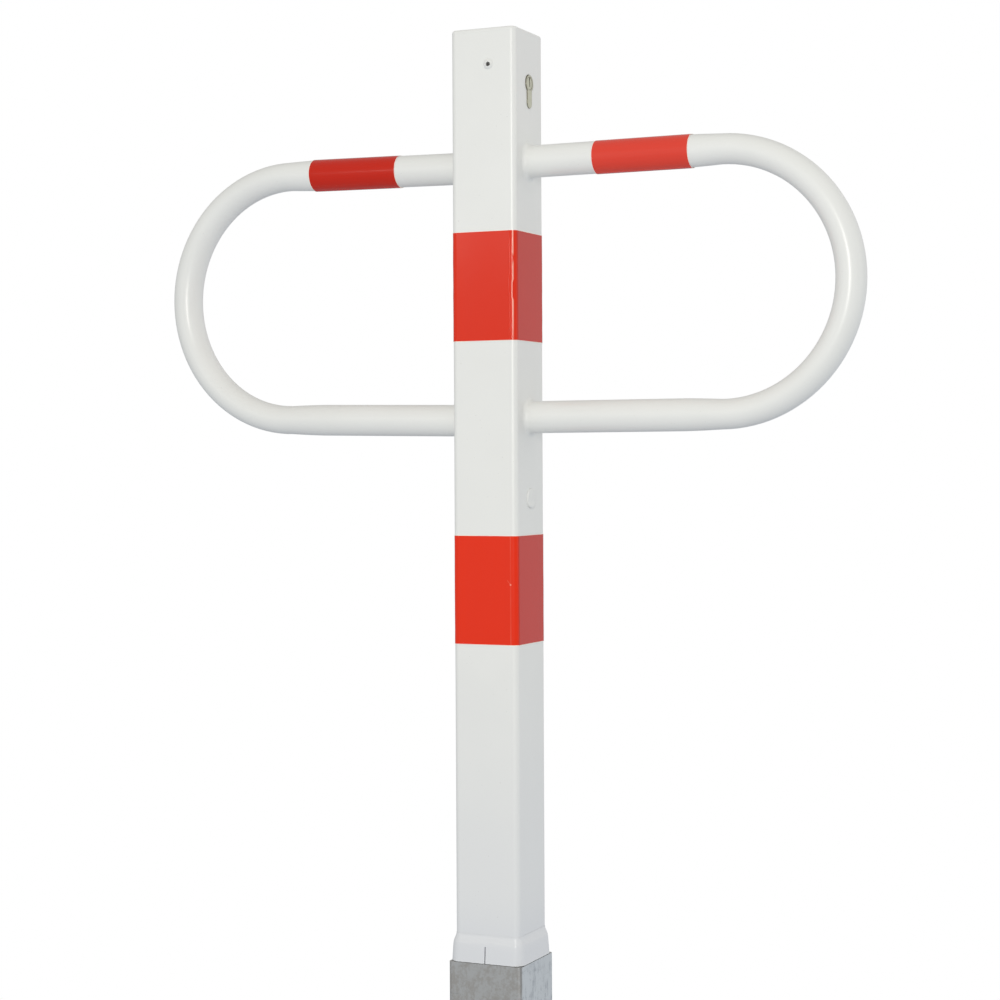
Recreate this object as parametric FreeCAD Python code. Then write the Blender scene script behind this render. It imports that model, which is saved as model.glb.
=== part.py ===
import FreeCAD, Part
import math
import os

# A removable bollard: a square post with a round-tube hoop on each side, locked in a ground socket.
# Lengths are in millimetres. The origin is on the post's axis at ground level, +Z is up, the hoops
# lie along X, the lock is in the +X face, and the front is at -Y.

Vector = FreeCAD.Vector
ALONG_X = Vector(1, 0, 0)
ALONG_Y = Vector(0, 1, 0)
ALONG_Z = Vector(0, 0, 1)

# Post: a square tube with a flat cap welded on.
POST_WIDTH = 70.0
POST_WALL = 3.0
POST_CORNER = 6.0
POST_HEIGHT = 930.0
POST_DEPTH = 385.0
CAP_THICKNESS = 4.0
CAP_EDGE_RADIUS = 2.0

# Ground socket: a square tube with room for the post, whose top end is at ground level.
SOCKET_PLAY = 2.0
SOCKET_WALL = 3.0
SOCKET_CORNER = 4.0
SOCKET_LENGTH = 500.0
ANCHOR_HOLE_DIAMETER = 6.0
ANCHOR_HOLE_RISE = 15.0

# Stop bar: a flat bar through the socket's front and rear walls, with a weld bead on each end.
STOP_BAR_WIDTH = 56.0
STOP_BAR_THICKNESS = 8.0
STOP_BAR_PLAY = 0.1
BEAD_LEG = 3.0
BEAD_HEIGHT = 2.0
REST_GAP = 0.3

# Collar: a strip folded round the post at ground level, with a sloped weld on its top edge.
COLLAR_SKIRT_HEIGHT = 20.0
COLLAR_SLOPE_HEIGHT = 8.0
COLLAR_TAPER = 1.4
COLLAR_LIP = 0.6
COLLAR_FIT = 0.1
COLLAR_SHOULDER_ROUND = 1.5
SLIT_WIDTH = 1.2
SLIT_HEIGHT = 18.0

# Hoops: each is a round tube with a top run, a half-turn bend and a bottom run.
HOOP_TUBE_DIAMETER = 32.0
HOOP_TUBE_WALL = 2.0
HOOP_DROP = 130.0
HOOP_SPACING = 255.0
HOOP_REACH = 365.0
HOOP_WELD_LEG = 4.5

# Reflective film, round the post and round the top run of each hoop.
FILM_THICKNESS = 0.3
FILM_ADHESIVE = 0.1
BAND_HEIGHT = 109.0
UPPER_BAND_RISE = 2.0
LOWER_BAND_DROP = 118.0
HOOP_BAND_START = 73.0
HOOP_BAND_LENGTH = 100.0

# Lock: a half profile cylinder in the +X face. Its standard section is a round over a narrow stem.
LOCK_DROP = 52.5
LOCK_PROUD = 1.0
LOCK_PLAY = 0.5
CYLINDER_ROUND_DIAMETER = 17.0
CYLINDER_STEM_WIDTH = 10.0
CYLINDER_HEIGHT = 33.0
CYLINDER_FRONT_LENGTH = 36.5
CYLINDER_REAR_LENGTH = 10.0
PLUG_DIAMETER = 13.0
PLUG_RECESS = 0.2
PLUG_EDGE = 0.4
KEYWAY_WIDTH = 2.4
KEYWAY_HEIGHT = 9.0
KEYWAY_RISE = 1.2
KEYWAY_DEPTH = 26.0
KEYWAY_WARD = 0.8
RUNNING_FIT = 0.05

# Cam: a ring with a round-ended finger, which points below the level at rest.
CAM_WIDTH = 9.4
CAM_GAP = 10.0
CAM_RING_DIAMETER = 16.0
CAM_FINGER_WIDTH = 5.0
CAM_FINGER_ARM = 12.5
CAM_HALF_SWING = 30.0
CAM_CLEARANCE = 0.8

# Push rod, with the follower that the cam lifts and the wedge plate that drives the bolt.
ROD_DIAMETER = 12.0
FOLLOWER_THICKNESS = 8.0
FOLLOWER_JAW = 5.0
FOLLOWER_PLAY = 0.3
FOLLOWER_LIMB_WIDTH = 6.0
FOLLOWER_FOOT_HEIGHT = 12.0
WEDGE_THICKNESS = 6.0
WEDGE_WIDTH = 28.0
WEDGE_TONGUE = 15.0
WEDGE_MARGIN = 9.0
SLIDING_GAP = 0.3

# Latch bolt, its housing in the post and the cup that covers its hole in the socket.
BOLT_DEPTH = 67.0
BOLT_DIAMETER = 16.0
BOLT_TRAVEL = 7.5
BOLT_TAIL = 16.0
BOLT_NOSE = 1.0
BOLT_HOLE_PLAY = 0.5
PIN_DIAMETER = 6.0
PIN_SET_BACK = 4.0
HOUSING_WIDTH = 34.0
HOUSING_TAIL = 22.0
CUP_WALL = 1.5
CUP_ROUND = 3.0
CUP_FLANGE = 2.5

# Lock carrier: a folded plate against the inside of the post.
CARRIER_THICKNESS = 5.0
CARRIER_ABOVE_LOCK = 26.0
CARRIER_BELOW_FOOT = 15.0
CARRIER_BACK = 12.0
CARRIER_SIDE = 14.0
CARRIER_FOLD = 5.0

# Screws. The carrier screw shows in the front face, and the cylinder screw is inside.
SCREW_RISE = 16.2
SCREW_FROM_AXIS = 6.5
SCREW_DIAMETER = 6.0
SCREW_LENGTH = 12.0
SCREW_HEAD_DIAMETER = 10.5
SCREW_HEAD_HEIGHT = 3.3
SCREW_SOCKET_WIDTH = 4.0
SCREW_SOCKET_DEPTH = 2.2
SCREW_HOLE_PLAY = 0.3
STEM_SCREW_DIAMETER = 5.0
STEM_SCREW_HEAD_DIAMETER = 9.0

# Rod guide: a folded bracket, held by a plug weld in the +X wall.
GUIDE_RISE = 36.5
GUIDE_THICKNESS = 5.0
GUIDE_WIDTH = 30.0
GUIDE_TAB_HEIGHT = 40.0
GUIDE_WELD_DIAMETER = 20.0
GUIDE_WELD_DOME = 0.6
GUIDE_OVERHANG = 6.0

# Places that follow from the sizes above.
POST_FACE = POST_WIDTH / 2
POST_INSIDE = POST_FACE - POST_WALL
SOCKET_INSIDE = POST_FACE + SOCKET_PLAY
SOCKET_FACE = SOCKET_INSIDE + SOCKET_WALL
TUBE_TOP = POST_HEIGHT - CAP_THICKNESS
HOOP_TOP = POST_HEIGHT - HOOP_DROP
HOOP_BOTTOM = HOOP_TOP - HOOP_SPACING
HOOP_MIDDLE = (HOOP_TOP + HOOP_BOTTOM) / 2
BEND_RADIUS = HOOP_SPACING / 2
BEND_START = HOOP_REACH - BEND_RADIUS
HOOP_RADIUS = HOOP_TUBE_DIAMETER / 2
LOWER_BAND_TOP = HOOP_BOTTOM - LOWER_BAND_DROP
GUIDE_HEIGHT = LOWER_BAND_TOP + GUIDE_RISE
LOCK_HEIGHT = POST_HEIGHT - LOCK_DROP
LOCK_FACE = POST_FACE + LOCK_PROUD
MECHANISM_X = LOCK_FACE - CYLINDER_FRONT_LENGTH
STEM_BOTTOM = LOCK_HEIGHT + CYLINDER_ROUND_DIAMETER / 2 - CYLINDER_HEIGHT
FINGER_RADIUS = CAM_FINGER_WIDTH / 2
CAM_REACH = CAM_FINGER_ARM + FINGER_RADIUS
CAM_RISE = CAM_FINGER_ARM * math.sin(math.radians(CAM_HALF_SWING))
ROD_TRAVEL = 2 * CAM_RISE
BRIDGE_TOP = LOCK_HEIGHT - CAM_REACH - CAM_CLEARANCE
STEM_SCREW_HEIGHT = (BRIDGE_TOP + STEM_BOTTOM) / 2
FOOT_TOP = STEM_BOTTOM - ROD_TRAVEL - 2.5
FOOT_BOTTOM = FOOT_TOP - FOLLOWER_FOOT_HEIGHT
SHELF_TOP = FOOT_BOTTOM - CARRIER_BELOW_FOOT
CARRIER_TOP = LOCK_HEIGHT + CARRIER_ABOVE_LOCK
BOLT_HEIGHT = -BOLT_DEPTH
BOLT_RADIUS = BOLT_DIAMETER / 2
BOLT_HOLE_RADIUS = BOLT_RADIUS + BOLT_HOLE_PLAY
BOLT_REST_NOSE = -POST_FACE + 0.4
CUP_INSIDE = BOLT_REST_NOSE - BOLT_TRAVEL - BOLT_HOLE_PLAY
WEDGE_TOP = BOLT_HEIGHT + HOUSING_WIDTH / 2 + WEDGE_TONGUE + 5.0
WEDGE_BOTTOM = BOLT_HEIGHT - ROD_TRAVEL - PIN_DIAMETER / 2 - WEDGE_MARGIN
ROD_BOTTOM = WEDGE_TOP - WEDGE_TONGUE


def box(low, high):
    """A block between its lowest and highest corners."""
    size = [high[i] - low[i] for i in range(3)]
    return Part.makeBox(*size, Vector(*low))


def rod(diameter, start, direction, length):
    """A round bar from a start point along a direction."""
    return Part.makeCylinder(diameter / 2, length, Vector(*start), direction)


def rounded_square(width, corner, height):
    """The outline of a square with round corners, about the axis at one height."""
    half = width / 2
    straight = half - corner
    bulge = straight + corner * math.cos(math.radians(45))
    edges = []
    for quarter in range(4):
        turn = FreeCAD.Rotation(ALONG_Z, 90 * quarter)
        corners = [(half, -straight), (half, straight), (bulge, bulge), (straight, half)]
        points = [turn.multVec(Vector(x, y, height)) for x, y in corners]
        edges.append(Part.LineSegment(points[0], points[1]).toShape())
        edges.append(Part.Arc(points[1], points[2], points[3]).toShape())
    return Part.Wire(edges)


def square_bar(width, corner, bottom, top):
    """A solid square bar with round corners."""
    face = Part.Face(rounded_square(width, corner, bottom))
    return face.extrude(Vector(0, 0, top - bottom))


def square_tube(width, wall, corner, bottom, top):
    """A square tube with an even wall."""
    outside = square_bar(width, corner, bottom, top)
    return outside.cut(square_bar(width - 2 * wall, corner - wall, bottom, top))


def plate_across(points, middle, thickness):
    """A flat plate that faces along X, from its outline as Y and Z pairs."""
    corners = [Vector(middle - thickness / 2, y, z) for y, z in points]
    face = Part.Face(Part.makePolygon(corners + corners[:1]))
    return face.extrude(Vector(thickness, 0, 0))


def revolved(points, centre, axis):
    """A closed outline in one plane, turned fully about an axis."""
    face = Part.Face(Part.makePolygon(points + points[:1]))
    return face.revolve(centre, axis, 360)


def profile_bar(start, end, play):
    """A bar along X with the section of a profile cylinder, made larger all round by a play."""
    length = end - start
    stem_round = CYLINDER_STEM_WIDTH / 2
    stem_half = stem_round + play
    stem_centre = STEM_BOTTOM + stem_round
    head = rod(CYLINDER_ROUND_DIAMETER + 2 * play, (start, 0, LOCK_HEIGHT), ALONG_X, length)
    foot = rod(2 * stem_half, (start, 0, stem_centre), ALONG_X, length)
    stem = box((start, -stem_half, stem_centre), (end, stem_half, LOCK_HEIGHT))
    return head.fuse([foot, stem]).removeSplitter()


def edges_where(shape, chosen):
    """The edges of a shape whose middle point passes a test."""
    found = []
    for edge in shape.Edges:
        middle = edge.valueAt((edge.FirstParameter + edge.LastParameter) / 2)
        if chosen(middle):
            found.append(edge)
    return found


def near(value, target):
    """Whether a coordinate lies on a plane."""
    return abs(value - target) < 0.01


def socket_tube():
    """The ground tube, with the bolt hole, the stop bar's slots and the anchor rod's holes."""
    tube = square_tube(2 * SOCKET_FACE, SOCKET_WALL, SOCKET_CORNER, -SOCKET_LENGTH, 0)
    bolt_hole = rod(2 * BOLT_HOLE_RADIUS, (MECHANISM_X, -SOCKET_FACE - 1, BOLT_HEIGHT), ALONG_Y,
                    SOCKET_WALL + 2)
    slot_half = STOP_BAR_WIDTH / 2 + STOP_BAR_PLAY
    slot_top = -POST_DEPTH - REST_GAP + STOP_BAR_PLAY
    slot_bottom = slot_top - STOP_BAR_THICKNESS - 2 * STOP_BAR_PLAY
    bar_slot = box((-slot_half, -SOCKET_FACE - 1, slot_bottom), (slot_half, SOCKET_FACE + 1, slot_top))
    anchor_height = -SOCKET_LENGTH + ANCHOR_HOLE_RISE
    anchor_hole = rod(ANCHOR_HOLE_DIAMETER, (-SOCKET_FACE - 1, 0, anchor_height), ALONG_X,
                      2 * SOCKET_FACE + 2)
    return tube.cut([bolt_hole, bar_slot, anchor_hole])


def strike_cup():
    """A shallow round cup on the socket's front wall, over the bolt hole."""
    inner = BOLT_HOLE_RADIUS
    outer = inner + CUP_WALL
    floor = CUP_INSIDE - CUP_WALL
    outline = [(inner, -SOCKET_FACE), (outer + CUP_FLANGE, -SOCKET_FACE),
               (outer + CUP_FLANGE, -SOCKET_FACE - 0.8), (outer, floor + CUP_ROUND / 2),
               (outer - CUP_ROUND, floor), (0, floor), (0, CUP_INSIDE), (inner, CUP_INSIDE)]
    points = [Vector(MECHANISM_X + radius, y, BOLT_HEIGHT) for radius, y in outline]
    return revolved(points, Vector(MECHANISM_X, 0, BOLT_HEIGHT), ALONG_Y)


def weld_bead(side):
    """A low rounded bead over one end of the stop bar, on the front or rear face."""
    half = STOP_BAR_WIDTH / 2 + BEAD_LEG
    middle = -POST_DEPTH - REST_GAP - STOP_BAR_THICKNESS / 2
    rise = STOP_BAR_THICKNESS / 2 + BEAD_LEG
    face = side * SOCKET_FACE
    crown = side * (SOCKET_FACE + BEAD_HEIGHT)
    arc = Part.Arc(Vector(-half, face, middle - rise), Vector(-half, crown, middle),
                   Vector(-half, face, middle + rise)).toShape()
    chord = Part.LineSegment(Vector(-half, face, middle + rise),
                             Vector(-half, face, middle - rise)).toShape()
    return Part.Face(Part.Wire([arc, chord])).extrude(Vector(2 * half, 0, 0))


def stop_bar():
    """The bar that carries the post's foot, through both walls, with its weld beads."""
    half = STOP_BAR_WIDTH / 2
    top = -POST_DEPTH - REST_GAP
    bar = box((-half, -SOCKET_FACE, top - STOP_BAR_THICKNESS), (half, SOCKET_FACE, top))
    return bar.fuse([weld_bead(-1), weld_bead(1)])


def post_tube():
    """The post's square tube, with its cut-outs."""
    tube = square_tube(POST_WIDTH, POST_WALL, POST_CORNER, -POST_DEPTH, TUBE_TOP)
    lock_hole = profile_bar(POST_INSIDE - 1, POST_FACE + 1, LOCK_PLAY)
    screw_hole = rod(SCREW_DIAMETER + 2 * SCREW_HOLE_PLAY,
                     (SCREW_FROM_AXIS, -POST_FACE - 1, LOCK_HEIGHT + SCREW_RISE), ALONG_Y,
                     POST_WALL + 2)
    weld_hole = rod(GUIDE_WELD_DIAMETER, (POST_INSIDE - 1, 0, GUIDE_HEIGHT), ALONG_X, POST_WALL + 2)
    bolt_window = rod(2 * BOLT_HOLE_RADIUS, (MECHANISM_X, -POST_FACE - 1, BOLT_HEIGHT), ALONG_Y,
                      POST_WALL + 2)
    return tube.cut([lock_hole, screw_hole, weld_hole, bolt_window])


def top_cap():
    """The flat lid on the head, with its top edge dressed round."""
    cap = square_bar(POST_WIDTH, POST_CORNER, TUBE_TOP, POST_HEIGHT)
    rim = edges_where(cap, lambda point: near(point.z, POST_HEIGHT))
    return cap.makeFillet(CAP_EDGE_RADIUS, rim)


def ground_collar():
    """The collar on the socket's rim: a skirt that tapers upwards, a sloped top and a round-topped slit."""
    thickness = SOCKET_FACE - POST_FACE
    skirt_top = REST_GAP + COLLAR_SKIRT_HEIGHT
    slope_top = skirt_top + COLLAR_SLOPE_HEIGHT
    foot_corner = POST_CORNER + thickness
    outlines = [
        rounded_square(2 * SOCKET_FACE, foot_corner, REST_GAP),
        rounded_square(2 * (SOCKET_FACE - COLLAR_TAPER), foot_corner - COLLAR_TAPER, skirt_top),
        rounded_square(POST_WIDTH + 2 * COLLAR_LIP, POST_CORNER + COLLAR_LIP, slope_top),
    ]
    collar = Part.makeLoft(outlines, True, True)
    shoulder = edges_where(collar, lambda point: near(point.z, skirt_top))
    collar = collar.makeFillet(COLLAR_SHOULDER_ROUND, shoulder)
    opening = square_bar(POST_WIDTH + 2 * COLLAR_FIT, POST_CORNER + COLLAR_FIT, 0, slope_top + 1)
    slit_end = REST_GAP + SLIT_HEIGHT - SLIT_WIDTH / 2
    slit = box((-SLIT_WIDTH / 2, -SOCKET_FACE - 1, 0), (SLIT_WIDTH / 2, -POST_FACE, slit_end))
    slit_top = rod(SLIT_WIDTH, (0, -SOCKET_FACE - 1, slit_end), ALONG_Y, thickness + 1)
    return collar.cut([opening, slit, slit_top])


def hoop_sweep(side, diameter):
    """A round bar along a hoop's centre line, on one side of the post."""
    face = side * POST_FACE
    bend = side * BEND_START
    top_start = Vector(face, 0, HOOP_TOP)
    top_end = Vector(bend, 0, HOOP_TOP)
    outermost = Vector(side * HOOP_REACH, 0, HOOP_MIDDLE)
    bottom_end = Vector(bend, 0, HOOP_BOTTOM)
    bottom_start = Vector(face, 0, HOOP_BOTTOM)
    path = Part.Wire([
        Part.LineSegment(top_start, top_end).toShape(),
        Part.Arc(top_end, outermost, bottom_end).toShape(),
        Part.LineSegment(bottom_end, bottom_start).toShape(),
    ])
    section = Part.Face(Part.Wire([Part.makeCircle(diameter / 2, top_start, ALONG_X)]))
    return path.makePipe(section)


def weld_toe(side, height):
    """A fillet weld round the end of a hoop tube, against the post's face."""
    face = side * POST_FACE
    inner = HOOP_RADIUS - HOOP_TUBE_WALL / 2
    leg = HOOP_WELD_LEG
    hollow = leg * (1 - math.cos(math.radians(45))) + 0.3
    outline = [(0, inner), (0, HOOP_RADIUS + leg), (hollow, HOOP_RADIUS + hollow),
               (leg, HOOP_RADIUS), (leg, inner)]
    points = [Vector(face + side * out, 0, height + radius) for out, radius in outline]
    return revolved(points, Vector(0, 0, height), ALONG_X)


def hoop(side):
    """One side hoop: a bent tube, open towards the post's wall, with its two fillet welds."""
    tube = hoop_sweep(side, HOOP_TUBE_DIAMETER)
    welds = [weld_toe(side, HOOP_TOP), weld_toe(side, HOOP_BOTTOM)]
    hollow = hoop_sweep(side, HOOP_TUBE_DIAMETER - 2 * HOOP_TUBE_WALL)
    return tube.fuse(welds).cut(hollow)


def post_band(top):
    """A film band round the post, below its top edge."""
    inside = POST_WIDTH + 2 * FILM_ADHESIVE
    corner = POST_CORNER + FILM_ADHESIVE + FILM_THICKNESS
    return square_tube(inside + 2 * FILM_THICKNESS, FILM_THICKNESS, corner, top - BAND_HEIGHT, top)


def hoop_band(side):
    """A film band round the top run of a hoop."""
    start = side * (POST_FACE + HOOP_BAND_START)
    outward = Vector(side, 0, 0)
    inside = HOOP_TUBE_DIAMETER + 2 * FILM_ADHESIVE
    outer = rod(inside + 2 * FILM_THICKNESS, (start, 0, HOOP_TOP), outward, HOOP_BAND_LENGTH)
    return outer.cut(rod(inside, (start, 0, HOOP_TOP), outward, HOOP_BAND_LENGTH))


def lock_carrier():
    """A folded plate in the head: a face for the cylinder, a flange for the screws, a shelf below."""
    back = MECHANISM_X - CARRIER_BACK
    shelf_bottom = SHELF_TOP - CARRIER_THICKNESS
    front = -POST_INSIDE
    face = box((POST_INSIDE - CARRIER_THICKNESS, front, shelf_bottom),
               (POST_INSIDE, CARRIER_SIDE, CARRIER_TOP))
    flange = box((back, front, shelf_bottom), (POST_INSIDE, front + CARRIER_THICKNESS, CARRIER_TOP))
    shelf = box((back, front, shelf_bottom), (POST_INSIDE, CARRIER_SIDE, SHELF_TOP))
    plate = face.fuse([flange, shelf]).removeSplitter()
    fold = edges_where(plate, lambda point: near(point.x, POST_INSIDE) and near(point.y, front))
    plate = plate.makeFillet(CARRIER_FOLD, fold)
    cylinder_hole = profile_bar(POST_INSIDE - CARRIER_THICKNESS - 1, POST_INSIDE + 1, RUNNING_FIT)
    screw_hole = rod(SCREW_DIAMETER + 2 * RUNNING_FIT,
                     (SCREW_FROM_AXIS, front - 1, LOCK_HEIGHT + SCREW_RISE), ALONG_Y,
                     CARRIER_THICKNESS + 2)
    rod_hole = rod(ROD_DIAMETER + 2 * SLIDING_GAP, (MECHANISM_X, 0, shelf_bottom - 1), ALONG_Z,
                   CARRIER_THICKNESS + 2)
    return plate.cut([cylinder_hole, screw_hole, rod_hole, stem_screw(RUNNING_FIT)])


def carrier_screw():
    """A button-head screw through the post's front wall into the carrier."""
    head_radius = SCREW_HEAD_DIAMETER / 2
    height = LOCK_HEIGHT + SCREW_RISE
    dome_radius = (head_radius ** 2 + SCREW_HEAD_HEIGHT ** 2) / (2 * SCREW_HEAD_HEIGHT)
    centre = Vector(SCREW_FROM_AXIS, -POST_FACE - SCREW_HEAD_HEIGHT + dome_radius, height)
    ball = Part.makeSphere(dome_radius, centre)
    blank = rod(SCREW_HEAD_DIAMETER, (SCREW_FROM_AXIS, -POST_FACE, height), -ALONG_Y, SCREW_HEAD_HEIGHT)
    head = blank.common(ball)
    shank = rod(SCREW_DIAMETER, (SCREW_FROM_AXIS, -POST_FACE, height), ALONG_Y, SCREW_LENGTH)
    key_hole = hexagon(SCREW_SOCKET_WIDTH, SCREW_FROM_AXIS, -POST_FACE - SCREW_HEAD_HEIGHT, height,
                       SCREW_SOCKET_DEPTH)
    return head.fuse(shank).cut(key_hole)


def hexagon(width, x, y, z, depth):
    """A six-sided bar along +Y, given its width across flats."""
    radius = width / math.sqrt(3)
    corners = []
    for side in range(6):
        angle = math.radians(60 * side)
        corners.append(Vector(x + radius * math.cos(angle), y, z + radius * math.sin(angle)))
    return Part.Face(Part.makePolygon(corners + corners[:1])).extrude(Vector(0, depth, 0))


def stem_screw(play):
    """The long countersunk screw through the carrier's flange and the cylinder's stem."""
    front = -POST_INSIDE
    shank_radius = STEM_SCREW_DIAMETER / 2 + play
    head_radius = STEM_SCREW_HEAD_DIAMETER / 2 + play
    length = POST_INSIDE + CYLINDER_STEM_WIDTH / 2 - 1.0 + play
    shank = rod(2 * shank_radius, (MECHANISM_X, front, STEM_SCREW_HEIGHT), ALONG_Y, length)
    cone = Part.makeCone(head_radius, shank_radius, head_radius - shank_radius,
                         Vector(MECHANISM_X, front, STEM_SCREW_HEIGHT), ALONG_Y)
    return shank.fuse(cone)


def cylinder_screw():
    """The screw that holds the cylinder in the carrier, with a hexagon socket."""
    key_hole = hexagon(SCREW_SOCKET_WIDTH - 1.0, MECHANISM_X, -POST_INSIDE, STEM_SCREW_HEIGHT,
                       SCREW_SOCKET_DEPTH)
    return stem_screw(0).cut(key_hole)


def cylinder_body():
    """The lock's fixed body, with the plug's bore, the cam's gap and the stem screw's hole."""
    rear = MECHANISM_X - CYLINDER_REAR_LENGTH
    body = profile_bar(rear, LOCK_FACE, 0)
    reach = CYLINDER_ROUND_DIAMETER
    cam_gap = box((MECHANISM_X - CAM_GAP / 2, -reach, BRIDGE_TOP),
                  (MECHANISM_X + CAM_GAP / 2, reach, LOCK_HEIGHT + reach))
    bore = rod(PLUG_DIAMETER + 2 * RUNNING_FIT, (MECHANISM_X, 0, LOCK_HEIGHT), ALONG_X,
               CYLINDER_FRONT_LENGTH + 1)
    return body.cut([cam_gap, bore, stem_screw(RUNNING_FIT)])


def cylinder_plug():
    """The turning plug, with a stepped keyway in its face."""
    rear = MECHANISM_X - CAM_WIDTH / 2
    face = LOCK_FACE - PLUG_RECESS
    plug = rod(PLUG_DIAMETER, (rear, 0, LOCK_HEIGHT), ALONG_X, face - rear)
    rim = edges_where(plug, lambda point: near(point.x, face))
    plug = plug.makeChamfer(PLUG_EDGE, rim)
    half = KEYWAY_WIDTH / 2
    middle = LOCK_HEIGHT + KEYWAY_RISE
    low = middle - KEYWAY_HEIGHT / 2
    high = middle + KEYWAY_HEIGHT / 2
    waist = middle - KEYWAY_HEIGHT / 8
    neck = middle + KEYWAY_HEIGHT / 8
    outline = [(-half + KEYWAY_WARD, low), (half, low), (half, waist), (half - KEYWAY_WARD, neck),
               (half, high), (-half, high), (-half, neck), (-half + KEYWAY_WARD, waist)]
    keyway = plate_across(outline, face - KEYWAY_DEPTH / 2 + 0.5, KEYWAY_DEPTH + 1)
    return plug.cut(keyway)


def cylinder_cam():
    """The cam on the plug's tail: a ring with one finger, which points down and back at rest."""
    start = MECHANISM_X - CAM_WIDTH / 2
    ring = rod(CAM_RING_DIAMETER, (start, 0, LOCK_HEIGHT), ALONG_X, CAM_WIDTH)
    finger = box((start, 0, LOCK_HEIGHT - FINGER_RADIUS),
                 (start + CAM_WIDTH, CAM_FINGER_ARM, LOCK_HEIGHT + FINGER_RADIUS))
    tip = rod(CAM_FINGER_WIDTH, (start, CAM_FINGER_ARM, LOCK_HEIGHT), ALONG_X, CAM_WIDTH)
    cam = ring.fuse([finger, tip]).removeSplitter()
    cam.rotate(Vector(0, 0, LOCK_HEIGHT), ALONG_X, -CAM_HALF_SWING)
    return cam.cut(rod(PLUG_DIAMETER + 2 * RUNNING_FIT, (start, 0, LOCK_HEIGHT), ALONG_X, CAM_WIDTH))


def push_rod():
    """The round rod down the middle of the post, slotted at its foot for the wedge plate."""
    bar = rod(ROD_DIAMETER, (MECHANISM_X, 0, ROD_BOTTOM), ALONG_Z, FOOT_BOTTOM - ROD_BOTTOM)
    half = WEDGE_THICKNESS / 2
    slot = box((MECHANISM_X - half, -ROD_DIAMETER, ROD_BOTTOM),
               (MECHANISM_X + half, ROD_DIAMETER, WEDGE_TOP))
    return bar.cut(slot)


def cam_follower():
    """A flat hook on the rod's top, whose two jaws take the cam's finger between them."""
    gap = FINGER_RADIUS + FOLLOWER_PLAY
    finger = LOCK_HEIGHT - CAM_RISE
    jaw_tip = CAM_FINGER_ARM * math.cos(math.radians(CAM_HALF_SWING)) + 0.6
    web = CAM_REACH + 2 * FOLLOWER_PLAY
    back = web + FOLLOWER_LIMB_WIDTH
    toe = -ROD_DIAMETER / 2 - 1.0
    outline = [(toe, FOOT_BOTTOM), (back, FOOT_BOTTOM), (back, finger + gap + FOLLOWER_JAW),
               (jaw_tip, finger + gap + FOLLOWER_JAW), (jaw_tip, finger + gap), (web, finger + gap),
               (web, finger - gap), (jaw_tip, finger - gap), (jaw_tip, finger - gap - FOLLOWER_JAW),
               (web, finger - gap - FOLLOWER_JAW), (web, FOOT_TOP), (toe, FOOT_TOP)]
    return plate_across(outline, MECHANISM_X, FOLLOWER_THICKNESS)


def wedge_slot():
    """The wedge plate's slanted slot, in which the drive pin slides."""
    radius = PIN_DIAMETER / 2 + SLIDING_GAP
    start = MECHANISM_X - WEDGE_THICKNESS
    first = Vector(start, PIN_SET_BACK, BOLT_HEIGHT)
    last = Vector(start, PIN_SET_BACK - BOLT_TRAVEL, BOLT_HEIGHT - ROD_TRAVEL)
    run = last.sub(first)
    side = Vector(0, run.z, -run.y).normalize().multiply(radius)
    corners = [first.add(side), last.add(side), last.sub(side), first.sub(side)]
    middle = Part.Face(Part.makePolygon(corners + corners[:1])).extrude(Vector(2 * WEDGE_THICKNESS, 0, 0))
    ends = [Part.makeCylinder(radius, 2 * WEDGE_THICKNESS, point, ALONG_X) for point in (first, last)]
    return middle.fuse(ends).removeSplitter()


def wedge_plate():
    """The plate at the rod's foot that turns the rod's lift into the bolt's travel."""
    half = WEDGE_WIDTH / 2
    neck = ROD_DIAMETER / 2
    outline = [(-half, WEDGE_BOTTOM), (half, WEDGE_BOTTOM), (half, ROD_BOTTOM - neck), (neck, ROD_BOTTOM),
               (neck, WEDGE_TOP), (-neck, WEDGE_TOP), (-neck, ROD_BOTTOM), (-half, ROD_BOTTOM - neck)]
    plate = plate_across(outline, MECHANISM_X, WEDGE_THICKNESS)
    return plate.cut(wedge_slot())


def latch_bolt():
    """The round bolt, drawn back at rest, with a fork for the wedge plate and the pin's hole."""
    length = BOLT_TAIL - BOLT_REST_NOSE
    bolt = rod(BOLT_DIAMETER, (MECHANISM_X, BOLT_REST_NOSE, BOLT_HEIGHT), ALONG_Y, length)
    rim = edges_where(bolt, lambda point: near(point.y, BOLT_REST_NOSE))
    bolt = bolt.makeChamfer(BOLT_NOSE, rim)
    half = WEDGE_THICKNESS / 2 + SLIDING_GAP
    fork_end = -WEDGE_WIDTH / 2 - 1.5
    fork = box((MECHANISM_X - half, fork_end, BOLT_HEIGHT - BOLT_DIAMETER),
               (MECHANISM_X + half, BOLT_TAIL + 1, BOLT_HEIGHT + BOLT_DIAMETER))
    pin_hole = rod(PIN_DIAMETER + 2 * RUNNING_FIT, (MECHANISM_X - BOLT_DIAMETER, PIN_SET_BACK, BOLT_HEIGHT),
                   ALONG_X, 2 * BOLT_DIAMETER)
    return bolt.cut([fork, pin_hole])


def drive_pin():
    """The pin across the bolt's fork, which rides in the wedge plate's slot."""
    length = BOLT_DIAMETER - 2.0
    return rod(PIN_DIAMETER, (MECHANISM_X - length / 2, PIN_SET_BACK, BOLT_HEIGHT), ALONG_X, length)


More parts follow.
